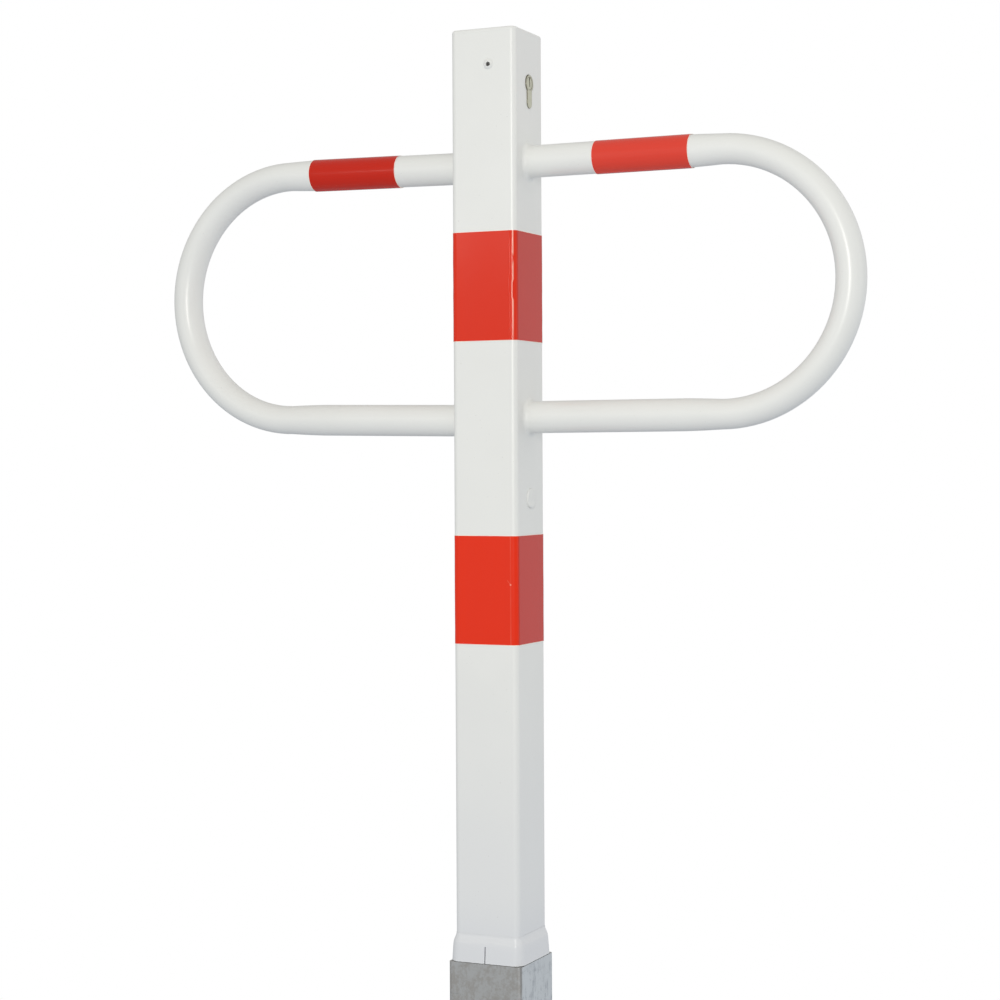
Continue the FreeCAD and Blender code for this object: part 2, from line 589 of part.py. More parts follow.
def bolt_housing():
    """The block behind the post's front wall that guides the bolt and the wedge plate."""
    half = HOUSING_WIDTH / 2
    block = box((MECHANISM_X - half, -POST_INSIDE, BOLT_HEIGHT - half),
                (MECHANISM_X + half, HOUSING_TAIL, BOLT_HEIGHT + half))
    bore = rod(BOLT_DIAMETER + 2 * RUNNING_FIT, (MECHANISM_X, -POST_INSIDE, BOLT_HEIGHT), ALONG_Y,
               POST_INSIDE + HOUSING_TAIL)
    slot_half = WEDGE_THICKNESS / 2 + SLIDING_GAP
    slot_end = WEDGE_WIDTH / 2 + SLIDING_GAP
    slot = box((MECHANISM_X - slot_half, -slot_end, BOLT_HEIGHT - half),
               (MECHANISM_X + slot_half, slot_end, BOLT_HEIGHT + half))
    return block.cut([bore, slot])


def rod_guide():
    """A folded bracket on the +X wall, whose leg guides the rod at its middle."""
    tab_top = GUIDE_HEIGHT + GUIDE_TAB_HEIGHT / 2
    half = GUIDE_WIDTH / 2
    tab = box((POST_INSIDE - GUIDE_THICKNESS, -half, tab_top - GUIDE_TAB_HEIGHT),
              (POST_INSIDE, half, tab_top))
    end = MECHANISM_X - ROD_DIAMETER / 2 - GUIDE_OVERHANG
    leg = box((end, -half, tab_top - GUIDE_THICKNESS), (POST_INSIDE, half, tab_top))
    bracket = tab.fuse(leg).removeSplitter()
    fold = edges_where(bracket, lambda point: near(point.x, POST_INSIDE) and near(point.z, tab_top))
    bracket = bracket.makeFillet(GUIDE_THICKNESS - 1.0, fold)
    hole = rod(ROD_DIAMETER + 2 * SLIDING_GAP, (MECHANISM_X, 0, tab_top - GUIDE_THICKNESS - 1), ALONG_Z,
               GUIDE_THICKNESS + 2)
    return bracket.cut(hole)


def guide_weld():
    """The plug weld in the +X wall that holds the rod guide, dressed to a low dome."""
    radius = GUIDE_WELD_DIAMETER / 2 - RUNNING_FIT
    crown = POST_FACE + GUIDE_WELD_DOME
    dome_radius = (radius ** 2 + GUIDE_WELD_DOME ** 2) / (2 * GUIDE_WELD_DOME)
    plug = rod(2 * radius, (POST_INSIDE, 0, GUIDE_HEIGHT), ALONG_X, crown - POST_INSIDE)
    return plug.common(Part.makeSphere(dome_radius, Vector(crown - dome_radius, 0, GUIDE_HEIGHT)))


PARTS = {
    "socket_tube": socket_tube(),
    "strike_cup": strike_cup(),
    "stop_bar": stop_bar(),
    "post_tube": post_tube(),
    "top_cap": top_cap(),
    "ground_collar": ground_collar(),
    "left_hoop": hoop(-1),
    "right_hoop": hoop(1),
    "upper_post_band": post_band(HOOP_MIDDLE + UPPER_BAND_RISE + BAND_HEIGHT / 2),
    "lower_post_band": post_band(LOWER_BAND_TOP),
    "left_hoop_band": hoop_band(-1),
    "right_hoop_band": hoop_band(1),
    "lock_carrier": lock_carrier(),
    "carrier_screw": carrier_screw(),
    "cylinder_body": cylinder_body(),
    "cylinder_screw": cylinder_screw(),
    "cylinder_plug": cylinder_plug(),
    "cylinder_cam": cylinder_cam(),
    "push_rod": push_rod(),
    "cam_follower": cam_follower(),
    "wedge_plate": wedge_plate(),
    "latch_bolt": latch_bolt(),
    "drive_pin": drive_pin(),
    "bolt_housing": bolt_housing(),
    "rod_guide": rod_guide(),
    "guide_weld": guide_weld(),
}

os.makedirs("parts", exist_ok=True)
for name, shape in PARTS.items():
    shape.exportStep("parts/" + name + ".step")
    box_size = shape.BoundBox
    print(name, "solids", len(shape.Solids), "valid", shape.isValid(), "cm3", round(shape.Volume / 1000, 2),
          "size", round(box_size.XLength, 1), round(box_size.YLength, 1), round(box_size.ZLength, 1))
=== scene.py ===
# %% [markdown]
# # A removable bollard with side hoops
#
# This lesson dresses a removable bollard: a white post with two hoops, red film bands, a lock and a
# galvanised ground socket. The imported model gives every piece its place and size, in metres, with +Z up
# and the ground at z = 0. It could be shown as it comes, but its edges are sharp and its surfaces bare.
# So each piece that shows is modelled over it, as a maker would: a primitive is set down, shaped in edit
# mode, and finished with modifiers and a material.

# %% Load the frame
import math

import bmesh
import bpy
from mathutils import Matrix, Vector


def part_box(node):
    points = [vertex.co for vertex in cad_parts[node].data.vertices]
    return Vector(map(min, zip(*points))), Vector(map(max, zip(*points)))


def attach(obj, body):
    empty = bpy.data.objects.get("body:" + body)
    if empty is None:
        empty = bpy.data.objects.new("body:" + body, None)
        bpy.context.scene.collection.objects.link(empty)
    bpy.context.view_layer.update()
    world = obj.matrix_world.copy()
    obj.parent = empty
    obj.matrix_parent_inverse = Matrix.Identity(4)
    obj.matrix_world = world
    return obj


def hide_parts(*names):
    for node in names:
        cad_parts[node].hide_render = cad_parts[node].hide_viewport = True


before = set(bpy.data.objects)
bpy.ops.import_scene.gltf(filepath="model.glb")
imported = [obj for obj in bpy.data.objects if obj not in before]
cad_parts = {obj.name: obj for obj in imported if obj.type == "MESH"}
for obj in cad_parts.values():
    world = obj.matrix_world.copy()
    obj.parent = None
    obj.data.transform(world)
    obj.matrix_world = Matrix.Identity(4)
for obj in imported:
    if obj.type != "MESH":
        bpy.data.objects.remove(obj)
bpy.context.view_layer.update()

# %% [markdown]
# ## The camera
#
# The viewer stands to the right of the front and looks at the middle of the post, almost level. A camera
# could be aimed at a target, but then it would have no roll. So it is placed by its yaw, pitch and roll,
# which were found by fitting the outlines of the post and the hoops. A long lens keeps upright edges
# nearly parallel, as they are in the picture.

# %% Place the camera
CAMERA_PLACE = Vector((0.9419, -2.0656, 0.5005))
CAMERA_YAW = math.radians(24.487)
CAMERA_PITCH = math.radians(0.980)
CAMERA_ROLL = math.radians(-0.282)
LENS_MM = 81.1
SENSOR_MM = 36

ahead = Vector((-math.sin(CAMERA_YAW) * math.cos(CAMERA_PITCH),
                math.cos(CAMERA_YAW) * math.cos(CAMERA_PITCH),
                -math.sin(CAMERA_PITCH)))
level_right = Vector((math.cos(CAMERA_YAW), math.sin(CAMERA_YAW), 0))
level_up = level_right.cross(ahead)
camera_right = level_right * math.cos(CAMERA_ROLL) + level_up * math.sin(CAMERA_ROLL)
camera_up = level_up * math.cos(CAMERA_ROLL) - level_right * math.sin(CAMERA_ROLL)
camera_axes = Matrix((camera_right, camera_up, -ahead)).transposed().to_4x4()

bpy.ops.object.camera_add()
camera = bpy.context.object
camera.name = "studio_camera"
camera.data.lens = LENS_MM
camera.data.sensor_width = SENSOR_MM
camera.matrix_world = Matrix.Translation(CAMERA_PLACE) @ camera_axes
bpy.context.scene.camera = camera
print("camera:", round(CAMERA_PLACE.xy.length, 3), "m from the post")

# %% [markdown]
# ## The bench
#
# Every operator acts on whatever is selected, so the bench is cleared before each new piece. A finished
# piece keeps its object at the origin, with its place in its mesh, so that patterns stay where they are.

# %% Take up a piece
MM = 0.001


def clear_bench():
    """Leaves edit mode and deselects everything."""
    if bpy.context.object and bpy.context.object.mode != "OBJECT":
        bpy.ops.object.mode_set(mode="OBJECT")
    bpy.ops.object.select_all(action="DESELECT")


def take_up(piece, mode="EDIT"):
    """Makes a piece the only one selected, and enters a mode on it."""
    clear_bench()
    bpy.context.view_layer.objects.active = piece
    piece.select_set(True)
    bpy.ops.object.mode_set(mode=mode)


def name_new(name):
    """Names the primitive that was just added, settles its place in its mesh, and starts to edit it."""
    piece = bpy.context.object
    piece.name = name
    piece.data.name = name
    bpy.ops.object.transform_apply(location=True, rotation=True, scale=True)
    take_up(piece)
    bpy.ops.mesh.select_mode(type="VERT")
    bpy.ops.mesh.select_all(action="SELECT")
    return piece


clear_bench()
print("bench: clear, 1 mm is", MM)

# %% [markdown]
# By hand, faces, edges and points are picked by eye. Numbers could name them, but those change with each
# cut. So a script picks them by where they lie and which way they point.

# %% Pick by place
def pick(piece, kind, parts, test):
    """Selects the parts of a mesh that pass a test, and returns how many there are."""
    bpy.ops.mesh.select_mode(type=kind)
    bpy.ops.mesh.select_all(action="DESELECT")
    mesh = bmesh.from_edit_mesh(piece.data)
    chosen = [part for part in getattr(mesh, parts) if test(part)]
    for part in chosen:
        part.select_set(True)
    if kind == "VERT":
        mesh.select_flush(True)
    bmesh.update_edit_mesh(piece.data)
    return len(chosen)


def pick_points(piece, test):
    """Selects the points whose place passes a test."""
    return pick(piece, "VERT", "verts", lambda point: test(point.co))


def pick_edges(piece, test):
    """Selects the edges whose middle and direction pass a test."""
    def passes(edge):
        first, last = edge.verts
        return test((first.co + last.co) / 2, (last.co - first.co).normalized())

    return pick(piece, "EDGE", "edges", passes)


def pick_faces(piece, test):
    """Selects the faces whose middle and normal pass a test."""
    return pick(piece, "FACE", "faces", lambda face: test(face.calc_center_median(), face.normal))


print("picks: points, edges and faces")

# %% [markdown]
# Five moves come back again and again: a push of what is selected, a cut right across, a little
# unevenness, a rounding of edges, and a clean-up that closes seams and points all faces outwards. They
# could be written out each time, but a name says sooner what a line is for.

# %% Shape by hand
DOUBLES = 0.002 * MM


def push(move):
    """Extrudes what is selected along a move."""
    bpy.ops.mesh.extrude_region_move(TRANSFORM_OT_translate={"value": move})


def cut_across(place, normal):
    """Cuts a line round the whole mesh, where a plane passes through it."""
    bpy.ops.mesh.select_all(action="SELECT")
    bpy.ops.mesh.bisect(plane_co=place, plane_no=normal)


def roughen(amount, seed, passes, sideways=0.0):
    """Shifts the selected points at random, mostly along their normals, and smooths them a little."""
    bpy.ops.transform.vertex_random(offset=amount, uniform=sideways, normal=1 - sideways, seed=seed)
    bpy.ops.mesh.vertices_smooth(factor=0.5, repeat=passes)


def round_edges(piece, width, steps, test):
    """Bevels the edges whose middle and direction pass a test."""
    pick_edges(piece, test)
    bpy.ops.mesh.bevel(offset=width, segments=steps, affect="EDGES")


def turn_outwards():
    """Merges doubles in the piece that is being edited and points its faces outwards."""
    bpy.ops.mesh.select_all(action="SELECT")
    bpy.ops.mesh.remove_doubles(threshold=DOUBLES)
    bpy.ops.mesh.normals_make_consistent(inside=False)


print("moves: doubles merge within", DOUBLES, "m")

# %% [markdown]
# Holes are cut with a shape that is thrown away afterwards. Rounded edges could be left to smooth
# shading alone, but that bends light over the flat faces too. So normals are weighted by face size, and
# flat faces stay flat.

# %% Cut and shade
SHARP_ANGLE = 35


def with_modifier(piece, kind, **settings):
    """Adds a modifier with its settings and applies it at once."""
    take_up(piece, "OBJECT")
    modifier = piece.modifiers.new(kind.lower(), kind)
    for name, value in settings.items():
        setattr(modifier, name, value)
    bpy.ops.object.modifier_apply(modifier=modifier.name)


def join_tool(piece, tool, operation):
    """Adds a tool's shape to a piece or takes it out, and deletes the tool."""
    with_modifier(piece, "BOOLEAN", operation=operation, solver="EXACT", object=tool)
    take_up(tool, "OBJECT")
    bpy.ops.object.delete()


def cut_away(piece, cutter):
    """Takes one shape out of another."""
    join_tool(piece, cutter, "DIFFERENCE")


def shade(piece, angle=SHARP_ANGLE):
    """Smooth shading that keeps the edges sharper than an angle, and the flat faces flat."""
    take_up(piece, "OBJECT")
    bpy.ops.object.shade_smooth_by_angle(angle=math.radians(angle))
    with_modifier(piece, "WEIGHTED_NORMAL", weight=50, keep_sharp=True)


print("shading: sharp past", SHARP_ANGLE, "degrees")

# %% [markdown]
# A piece can have two finishes, such as film with a pale cut edge. It could be split in two, but then a
# seam would show, so the other finish is given to some of its faces. At the end each piece gets its
# finish and the body that it moves with, and the node that it stands for is hidden.

# %% Paint and fit
def paint_part(piece, finish, other, test):
    """Gives a piece its finish, and another one to the faces whose middle and normal pass a test."""
    take_up(piece, "OBJECT")
    piece.data.materials.append(finish)
    piece.data.materials.append(other)
    take_up(piece)
    print(piece.name + ":", pick_faces(piece, test), "faces in", other.name)
    piece.active_material_index = 1
    bpy.ops.object.material_slot_assign()


def fit(piece, body, finish, node):
    """Gives a finished piece its material and the body that it moves with, and hides the node that it
    stands for.
    """
    clear_bench()
    if not piece.data.materials:
        piece.data.materials.append(finish)
    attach(piece, body)
    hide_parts(node)
    print(piece.name + ":", len(piece.data.polygons), "faces")


# %% [markdown]
# ## Shader maths as plain expressions
#
# A procedural finish is arithmetic on patterns. Its nodes could be added and linked one by one, but the
# sum would be hard to read. So the class below wraps one output socket, and `1 - mask` or `dust * 0.3`
# adds the Math nodes that it stands for. Any other node comes from one method, which takes its type, its
# settings and the values or wires of its sockets.

# %% The wire class
class Wire:
    """One output socket in a material, which can be used in sums and products."""

    def __init__(self, tree, socket):
        self.tree = tree
        self.socket = socket

    def node(self, kind, settings, sockets, output=0):
        """Adds a node: its settings first, then a value or a wire for each of its sockets."""
        made = self.tree.nodes.new(kind)
        for setting, value in settings.items():
            setattr(made, setting, value)
        for name, value in sockets.items():
            if isinstance(value, Wire):
                self.tree.links.new(value.socket, made.inputs[name])
            else:
                made.inputs[name].default_value = value
        return Wire(self.tree, made.outputs[output])

    def math(self, operation, first, second=0.0):
        return self.node("ShaderNodeMath", {"operation": operation}, {0: first, 1: second})

    def vector(self, operation, sockets, output=0):
        return self.node("ShaderNodeVectorMath", {"operation": operation}, sockets, output)

    def __add__(self, other):
        return self.math("ADD", self, other)

    __radd__ = __add__

    def __mul__(self, other):
        return self.math("MULTIPLY", self, other)

    __rmul__ = __mul__

    def __sub__(self, other):
        return self.math("SUBTRACT", self, other)

    def __rsub__(self, other):
        return self.math("SUBTRACT", other, self)


print("wires: add, multiply and subtract")

# %% [markdown]
# Masks are soft steps between 0 and 1, and two colours are blended by them. A ramp could make such a step
# too, but a step between two numbers reads as a distance on the piece.

# %% Masks
def fade(value, start, end):
    """0 before the start, 1 past the end, and a soft step between them."""
    low, high, first, last = (start, end, 0.0, 1.0) if start < end else (end, start, 1.0, 0.0)
    return value.node("ShaderNodeMapRange", {"interpolation_type": "SMOOTHSTEP"},
                      {"Value": value, "From Min": low, "From Max": high, "To Min": first, "To Max": last})


def close_to(value, target, far, near):
    """1 where a value is nearer to a target than one distance, and 0 where it is farther than another."""
    off = value - target
    return fade(off.math("ABSOLUTE", off), far, near)


def blend(mask, below, above):
    """One colour where the mask is 0 and another where it is 1."""
    sockets = {0: mask, 6: below, 7: above}
    return mask.node("ShaderNodeMix", {"data_type": "RGBA"}, sockets, output=2)


print("masks: soft steps between two numbers")

# %% [markdown]
# Patterns are noise in the piece's own space, so they have the same size on a small screw as on the
# post, and don't slide when it is lifted. They could follow a flat map of each piece, but such a map has
# seams.

# %% Patterns
def grain(place, scale, detail=2.0, roughness=0.5):
    """Soft noise between about 0.3 and 0.7, at so many waves per metre."""
    return place.node("ShaderNodeTexNoise", {},
                      {"Vector": place, "Scale": scale, "Detail": detail, "Roughness": roughness})


def stretched(place, x, y, z):
    """The place with each axis drawn out or squeezed, for streaks."""
    return place.node("ShaderNodeMapping", {}, {"Vector": place, "Scale": (x, y, z)})


def axis_of(place, axis):
    """One coordinate of a place, as 0, 1 or 2 for X, Y or Z."""
    return place.node("ShaderNodeSeparateXYZ", {}, {"Vector": place}, output=axis)


def both_sides(place):
    """The place with all its signs dropped, so that a mask falls on opposite sides alike."""
    return place.vector("ABSOLUTE", {0: place})


def bumped(height, depth, strength):
    """A normal from a height pattern between 0 and 1, and the depth in metres that 1 stands for."""
    return height.node("ShaderNodeBump", {}, {"Height": height, "Distance": depth, "Strength": strength})


print("patterns: noise, streaks and bumps")

# %% [markdown]
# Every finish starts with a new material and the place of its surface points, and ends with the sockets
# of its shader. Each socket could be set in a line of its own, but some get a number and others a wire,
# so one helper sorts them.

# %% Start and end a finish
def new_finish(name):
    """A new material, and a wire with the place of each surface point in metres."""
    finish = bpy.data.materials.new(name)
    finish.use_nodes = True
    tree = finish.node_tree
    return finish, Wire(tree, tree.nodes.new("ShaderNodeTexCoord").outputs["Object"])


def set_surface(finish, sockets):
    """Sets or links the sockets of a material's Principled shader."""
    shader = finish.node_tree.nodes["Principled BSDF"]
    for name, value in sockets.items():
        if isinstance(value, Wire):
            finish.node_tree.links.new(value.socket, shader.inputs[name])
        else:
            shader.inputs[name].default_value = value


print("materials so far:", len(bpy.data.materials))

# %% [markdown]
# ## The finishes
#
# The post and hoops are powder coated white: a thick satin skin with a slight orange peel, a few
# specks, and a tone that drifts a little. Towards the ground it is a shade greyer and cooler, partly
# dust and partly painted shade where less light falls. A painted picture could be wrapped round the
# post, but noise in the piece's own space has no seams and stays sharp from close by. The socket in the
# screw's head is painted dark, partly dust and partly painted shade in the recess, and gets its own finish.

# %% White powder coat
PAINT_LIGHT = (0.815, 0.815, 0.793, 1)
PAINT_DULL = (0.795, 0.795, 0.773, 1)
PAINT_DUST_AND_SHADE = (0.760, 0.766, 0.775, 1)
PAINT_FOOT_DUST_AND_SHADE = (0.712, 0.722, 0.748, 1)
PAINT_SPECK = (0.34, 0.34, 0.32, 1)
DUST_AND_SHADE_TOP = 0.42
FOOT_DUST_AND_SHADE_TOP = 0.075
DRIFT_WAVES = 11
PEEL_WAVES = 330
SPECK_WAVES = 620


def white_powder_coat():
    """White paint with orange peel, specks, and dust with painted shade near the ground."""
    finish, place = new_finish("white_powder_coat")
    drift = grain(place, DRIFT_WAVES, 3)
    peel = grain(place, PEEL_WAVES, 2)
    speck = fade(grain(place, SPECK_WAVES, 1), 0.795, 0.81)
    # Greyer and cooler towards the ground: partly dust, partly painted shade.
    dust_and_shade = fade(axis_of(place, 2) + drift * 0.1, DUST_AND_SHADE_TOP, 0.0)
    tone = blend(dust_and_shade, blend(fade(drift, 0.3, 0.7), PAINT_DULL, PAINT_LIGHT), PAINT_DUST_AND_SHADE)
    tone = blend(fade(axis_of(place, 2), FOOT_DUST_AND_SHADE_TOP, 0.0), tone, PAINT_FOOT_DUST_AND_SHADE)
    set_surface(finish, {
        "Base Color": blend(speck * 0.5, tone, PAINT_SPECK),
        "Roughness": 0.28 + drift * 0.05,
        "Normal": bumped(peel, 0.05 * MM, 0.4),
    })
    return finish


def hollow_dust_and_shade():
    """The inside of a narrow recess, painted dark: thin paint with dust, and painted shade."""
    finish, place = new_finish("hollow_dust_and_shade")
    dust_and_shade = grain(place, 900, 2)
    set_surface(finish, {
        "Base Color": blend(dust_and_shade, (0.045, 0.043, 0.04, 1), (0.11, 0.105, 0.10, 1)),
        "Roughness": 0.75 + dust_and_shade * 0.1,
    })
    return finish


WHITE = white_powder_coat()
HOLLOW_SHADE = hollow_dust_and_shade()
print("paint:", WHITE.name, "and", HOLLOW_SHADE.name)

# %% [markdown]
# The bands are red reflective film, glossy over a layer of fine beads. Beside the near corner the upper
# film has a painted highlight, a pale line where the lamp's reflection runs along a crease, and the lower
# one a faint streak with a small scratch. These marks could be modelled, but they are hardly deeper than
# the film, so masks paint them, each by its distance from a line or a point.

# %% Wear and a painted highlight on the film
# The place and jog of a painted highlight: a pale line along the upper film's crease.
HIGHLIGHT_PLACE = 32.1 * MM
HIGHLIGHT_JOG_HEIGHT = 0.670
HIGHLIGHT_JOG = 1.0 * MM
STREAK_PLACE = 28.3 * MM
SCRATCH_HEIGHT = 0.3783
SCRATCH_SLANT = 0.8


def on_front(place):
    """A mask for the front of the post."""
    return fade(axis_of(place, 1), 0, -20 * MM)


def painted_crease_highlight(place):
    """A mask for a painted highlight, a pale line along the fold beside the near corner of the upper film.
    It jogs sideways.
    """
    along, height = axis_of(place, 0), axis_of(place, 2)
    jog = close_to(height, HIGHLIGHT_JOG_HEIGHT, 11 * MM, 6 * MM)
    line = close_to(along + jog * HIGHLIGHT_JOG, HIGHLIGHT_PLACE, 0.8 * MM, 0.35 * MM)
    wear = fade(grain(stretched(place, 200, 200, 45), 1, 2), 0.30, 0.46)
    return line * wear * (1 - jog * 0.5) * on_front(place) * fade(height, 0.6, 0.65)


def scratched_streak(place):
    """A mask for the lower film's faint pale streak beside the near corner, and its small scratch."""
    along, height = axis_of(place, 0), axis_of(place, 2)
    patches = grain(stretched(place, 90, 90, 30), 1, 2)
    streak = close_to(along, STREAK_PLACE, 1.0 * MM, 0.3 * MM) * patches
    off = along - STREAK_PLACE
    rise = height - SCRATCH_HEIGHT
    dot = fade(off * off + rise * rise, (1.1 * MM) ** 2, (0.5 * MM) ** 2)
    drawn = close_to(along + height * SCRATCH_SLANT, STREAK_PLACE + SCRATCH_HEIGHT * SCRATCH_SLANT,
                     0.5 * MM, 0.2 * MM)
    drawn = drawn * fade(rise, 0, 1 * MM) * fade(rise, 5 * MM, 4 * MM)
    return (streak * 0.11 + dot * 0.5 + drawn * 0.14) * on_front(place) * fade(height, 0.6, 0.5)


# The line at this place is a painted highlight; the scratch is wear.
print("wear: crease at x", HIGHLIGHT_PLACE, "and scratch at z", SCRATCH_HEIGHT)

# %% [markdown]
# The red is painted deeper on the post's sides, as painted shade against the bright room that lies over
# them like a veil, and paler on the right hoop, whose film has faded. The lower band is painted a clearer
# red than the upper one, standing in for the weaker reflection of the room low down. Each could be a
# material of its own, but one that goes by the place keeps beads and gloss the same. Where it was cut,
# the film shows a thin pale edge.

# %% Red film
FILM_RED = (0.720, 0.027, 0.006, 1)
FILM_LOWER_CLEAR = (0.790, 0.026, 0.002, 1)
FILM_SIDE_SHADE = (0.560, 0.016, 0.004, 1)
FILM_PALE = (0.730, 0.055, 0.033, 1)
FILM_HIGHLIGHT = (0.98, 0.55, 0.42, 1)
FILM_EDGE = (0.97, 0.90, 0.76, 1)
FILM_EDGE_PINK = (0.95, 0.78, 0.72, 1)
FRONT_EDGE = 34.6 * MM
BEAD_WAVES = 1500


def red_film():
    """Red film with a clearer red on the lower band, painted shade on the post's sides and a paler tone on
    a hoop.
    """
    finish, place = new_finish("reflective_film")
    drift = grain(place, 24, 2)
    beads = grain(place, BEAD_WAVES, 1)
    # The lower band gets a clearer red for the room's weaker reflection low down, and the post's sides a
    # deeper one as painted shade.
    upper = fade(axis_of(place, 2), 0.5, 0.6)
    side_shade = fade(axis_of(both_sides(place), 0), FRONT_EDGE, FRONT_EDGE + 0.8 * MM)
    tone = blend(side_shade * (1.1 - drift * 0.2), blend(upper, FILM_LOWER_CLEAR, FILM_RED), FILM_SIDE_SHADE)
    tone = blend(fade(axis_of(place, 0), 60 * MM, 70 * MM), tone, FILM_PALE)
    # A painted highlight along the crease, and wear on the lower film.
    wear_and_highlight = painted_crease_highlight(place) * 0.6 + scratched_streak(place)
    set_surface(finish, {
        "Base Color": blend(wear_and_highlight, tone, FILM_HIGHLIGHT),
        "Roughness": 0.15 + beads * 0.08,
        "Specular IOR Level": 0.26,
        "Normal": bumped(grain(place, 60, 2), 0.10 * MM, 0.4),
    })
    return finish


def film_edge():
    """The pale cut edge of the film."""
    finish, place = new_finish("film_edge")
    set_surface(finish, {
        "Base Color": blend(fade(grain(place, 30, 1), 0.4, 0.6), FILM_EDGE, FILM_EDGE_PINK),
        "Roughness": 0.5,
    })
    return finish


RED = red_film()
RED_EDGE = film_edge()
print("film:", RED.name, "and", RED_EDGE.name)

# %% [markdown]
# The socket is hot-dip galvanised. The front is warm and cloudy, and the sides are painted lighter and
# bluer, as a painted reflection of the bright room behind on the right, with runs down them. Both have
# small zinc crystals, fine scratches and a darker line along the corners. A plain metal shader would
# look like polished steel, so five patterns at different scales make the tone, the roughness and the bump.

# %% Galvanised steel
ZINC_WARM = (0.395, 0.380, 0.360, 1)
ZINC_COOL = (0.470, 0.472, 0.468, 1)
ZINC_DARK = (0.27, 0.265, 0.26, 1)
ZINC_BLUE = (0.565, 0.592, 0.612, 1)
ZINC_SLATE = (0.325, 0.352, 0.386, 1)
SIDE_START = 39.2 * MM
CORNER_LINE = 37.9 * MM
CRYSTAL_WAVES = 260.0
CLOUD_WAVES = 85
MOTTLE_WAVES = 460
SCRATCH_TURN = (0.6, 0, 0)
SCRATCH_STRETCH = (60, 40, 900)


def galvanised_steel():
    """Clouded zinc with crystals, runs, scratches, dark corners and a painted reflection on its sides."""
    finish, place = new_finish("hot_dip_zinc")
    crystals = place.node("ShaderNodeTexVoronoi", {}, {"Vector": place, "Scale": CRYSTAL_WAVES}, output=1)
    cloud = grain(place, CLOUD_WAVES, 3, 0.6)
    mottle = grain(place, MOTTLE_WAVES, 3, 0.7)
    runs = grain(stretched(place, 330, 330, 24), 1, 3, 0.6)
    tilted = place.node("ShaderNodeMapping", {},
                        {"Vector": place, "Rotation": SCRATCH_TURN, "Scale": SCRATCH_STRETCH})
    scratch = fade(grain(tilted, 1, 1), 0.66, 0.72) * fade(cloud, 0.5, 0.6)
    tone = cloud * 0.7 + mottle * 0.5 + runs * 0.3 + axis_of(crystals, 0) * 0.12
    across, deep = axis_of(both_sides(place), 0), axis_of(both_sides(place), 1)
    line = fade(across.math("MINIMUM", across, deep), CORNER_LINE, CORNER_LINE + 0.3 * MM)
    dark = line * fade(runs, 0.40, 0.52) * 0.85 + scratch * 0.45
    front_metal = blend(fade(tone, 0.66, 0.92), ZINC_WARM, ZINC_COOL)
    # The sides are painted lighter and bluer, as a painted reflection of the bright room behind on the
    # right.
    side_metal_and_reflection = blend(fade(tone + runs * 0.4, 0.70, 1.08), ZINC_SLATE, ZINC_BLUE)
    metal = blend(fade(across, SIDE_START, SIDE_START + 1 * MM), front_metal, side_metal_and_reflection)
    set_surface(finish, {
        "Base Color": blend(dark, metal, ZINC_DARK),
        "Metallic": 0.9 - mottle * 0.25,
        "Roughness": 0.34 + mottle * 0.16,
        "Normal": bumped(cloud * 0.5 + mottle * 0.25 + runs * 0.25, 0.35 * MM, 0.35),
    })
    return finish


ZINC = galvanised_steel()
print("zinc:", len(ZINC.node_tree.nodes), "nodes")

# %% [markdown]
# The lock is nickel-plated brass, which has a warm grey tone, and painted shade darkens it round its
# rim, along its stem and in the ring round the plug, where the gaps lie. Shade could be one noise all
# over, but here it follows the lock's own shape, so its masks are distances from the lock's axis and its
# middle plane.

# %% Nickel plate
NICKEL_DULL = (0.46, 0.45, 0.35, 1)
NICKEL_BRIGHT = (0.60, 0.59, 0.48, 1)
NICKEL_SHADE = (0.17, 0.15, 0.11, 1)
LOCK_ROUND = 8.5 * MM
STEM_HALF = 5.0 * MM
PLUG_RADIUS = 6.4 * MM
STEM_TOP = 7.0 * MM
lock_low, lock_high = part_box("cylinder_body")
LOCK_HEIGHT = lock_high.z - LOCK_ROUND


def nickel_lock():
    """Turned nickel plate with painted shade at its edges."""
    finish, place = new_finish("nickel_plate")
    lines = grain(stretched(place, 90, 60, 2200), 1, 2)
    wear = grain(place, 260, 3)
    off_axis = stretched(place.vector("SUBTRACT", {0: place, 1: (0, 0, LOCK_HEIGHT)}), 0, 1, 1)
    reach = place.vector("LENGTH", {0: off_axis}, output=1)
    stem_line = LOCK_HEIGHT - STEM_TOP
    in_stem = fade(axis_of(place, 2), stem_line + 0.5 * MM, stem_line - 0.5 * MM)
    rim = fade(reach, LOCK_ROUND - 1.1 * MM, LOCK_ROUND - 0.1 * MM) * (1 - in_stem)
    stem_rim = fade(axis_of(both_sides(place), 1), STEM_HALF - 1 * MM, STEM_HALF) * in_stem
    ring = close_to(reach, PLUG_RADIUS, 0.7 * MM, 0.2 * MM) * (1 - in_stem)
    # Painted shade round the rim, along the stem and in the plug's ring.
    painted_edge_shade = rim * 0.6 + stem_rim * 0.5 + ring * 0.45
    set_surface(finish, {
        "Base Color": blend(painted_edge_shade, blend(wear, NICKEL_DULL, NICKEL_BRIGHT), NICKEL_SHADE),
        "Metallic": 0.9,
        "Roughness": 0.26 + lines * 0.16,
        "Normal": bumped(lines, 0.01 * MM, 0.4),
    })
    return finish


NICKEL = nickel_lock()
print("lock: axis at", round(LOCK_HEIGHT / MM, 1), "mm")

# %% [markdown]
# The parts inside the post are bright drawn steel, with fine lines along their length and a thin film of
# oil. The carrier and the long screw are zinc plated, which is bluish with yellow patches. One grey metal
# could do for all, but bare steel and zinc plate differ when the post is lifted out. They show little, so
# two patterns are enough for each.

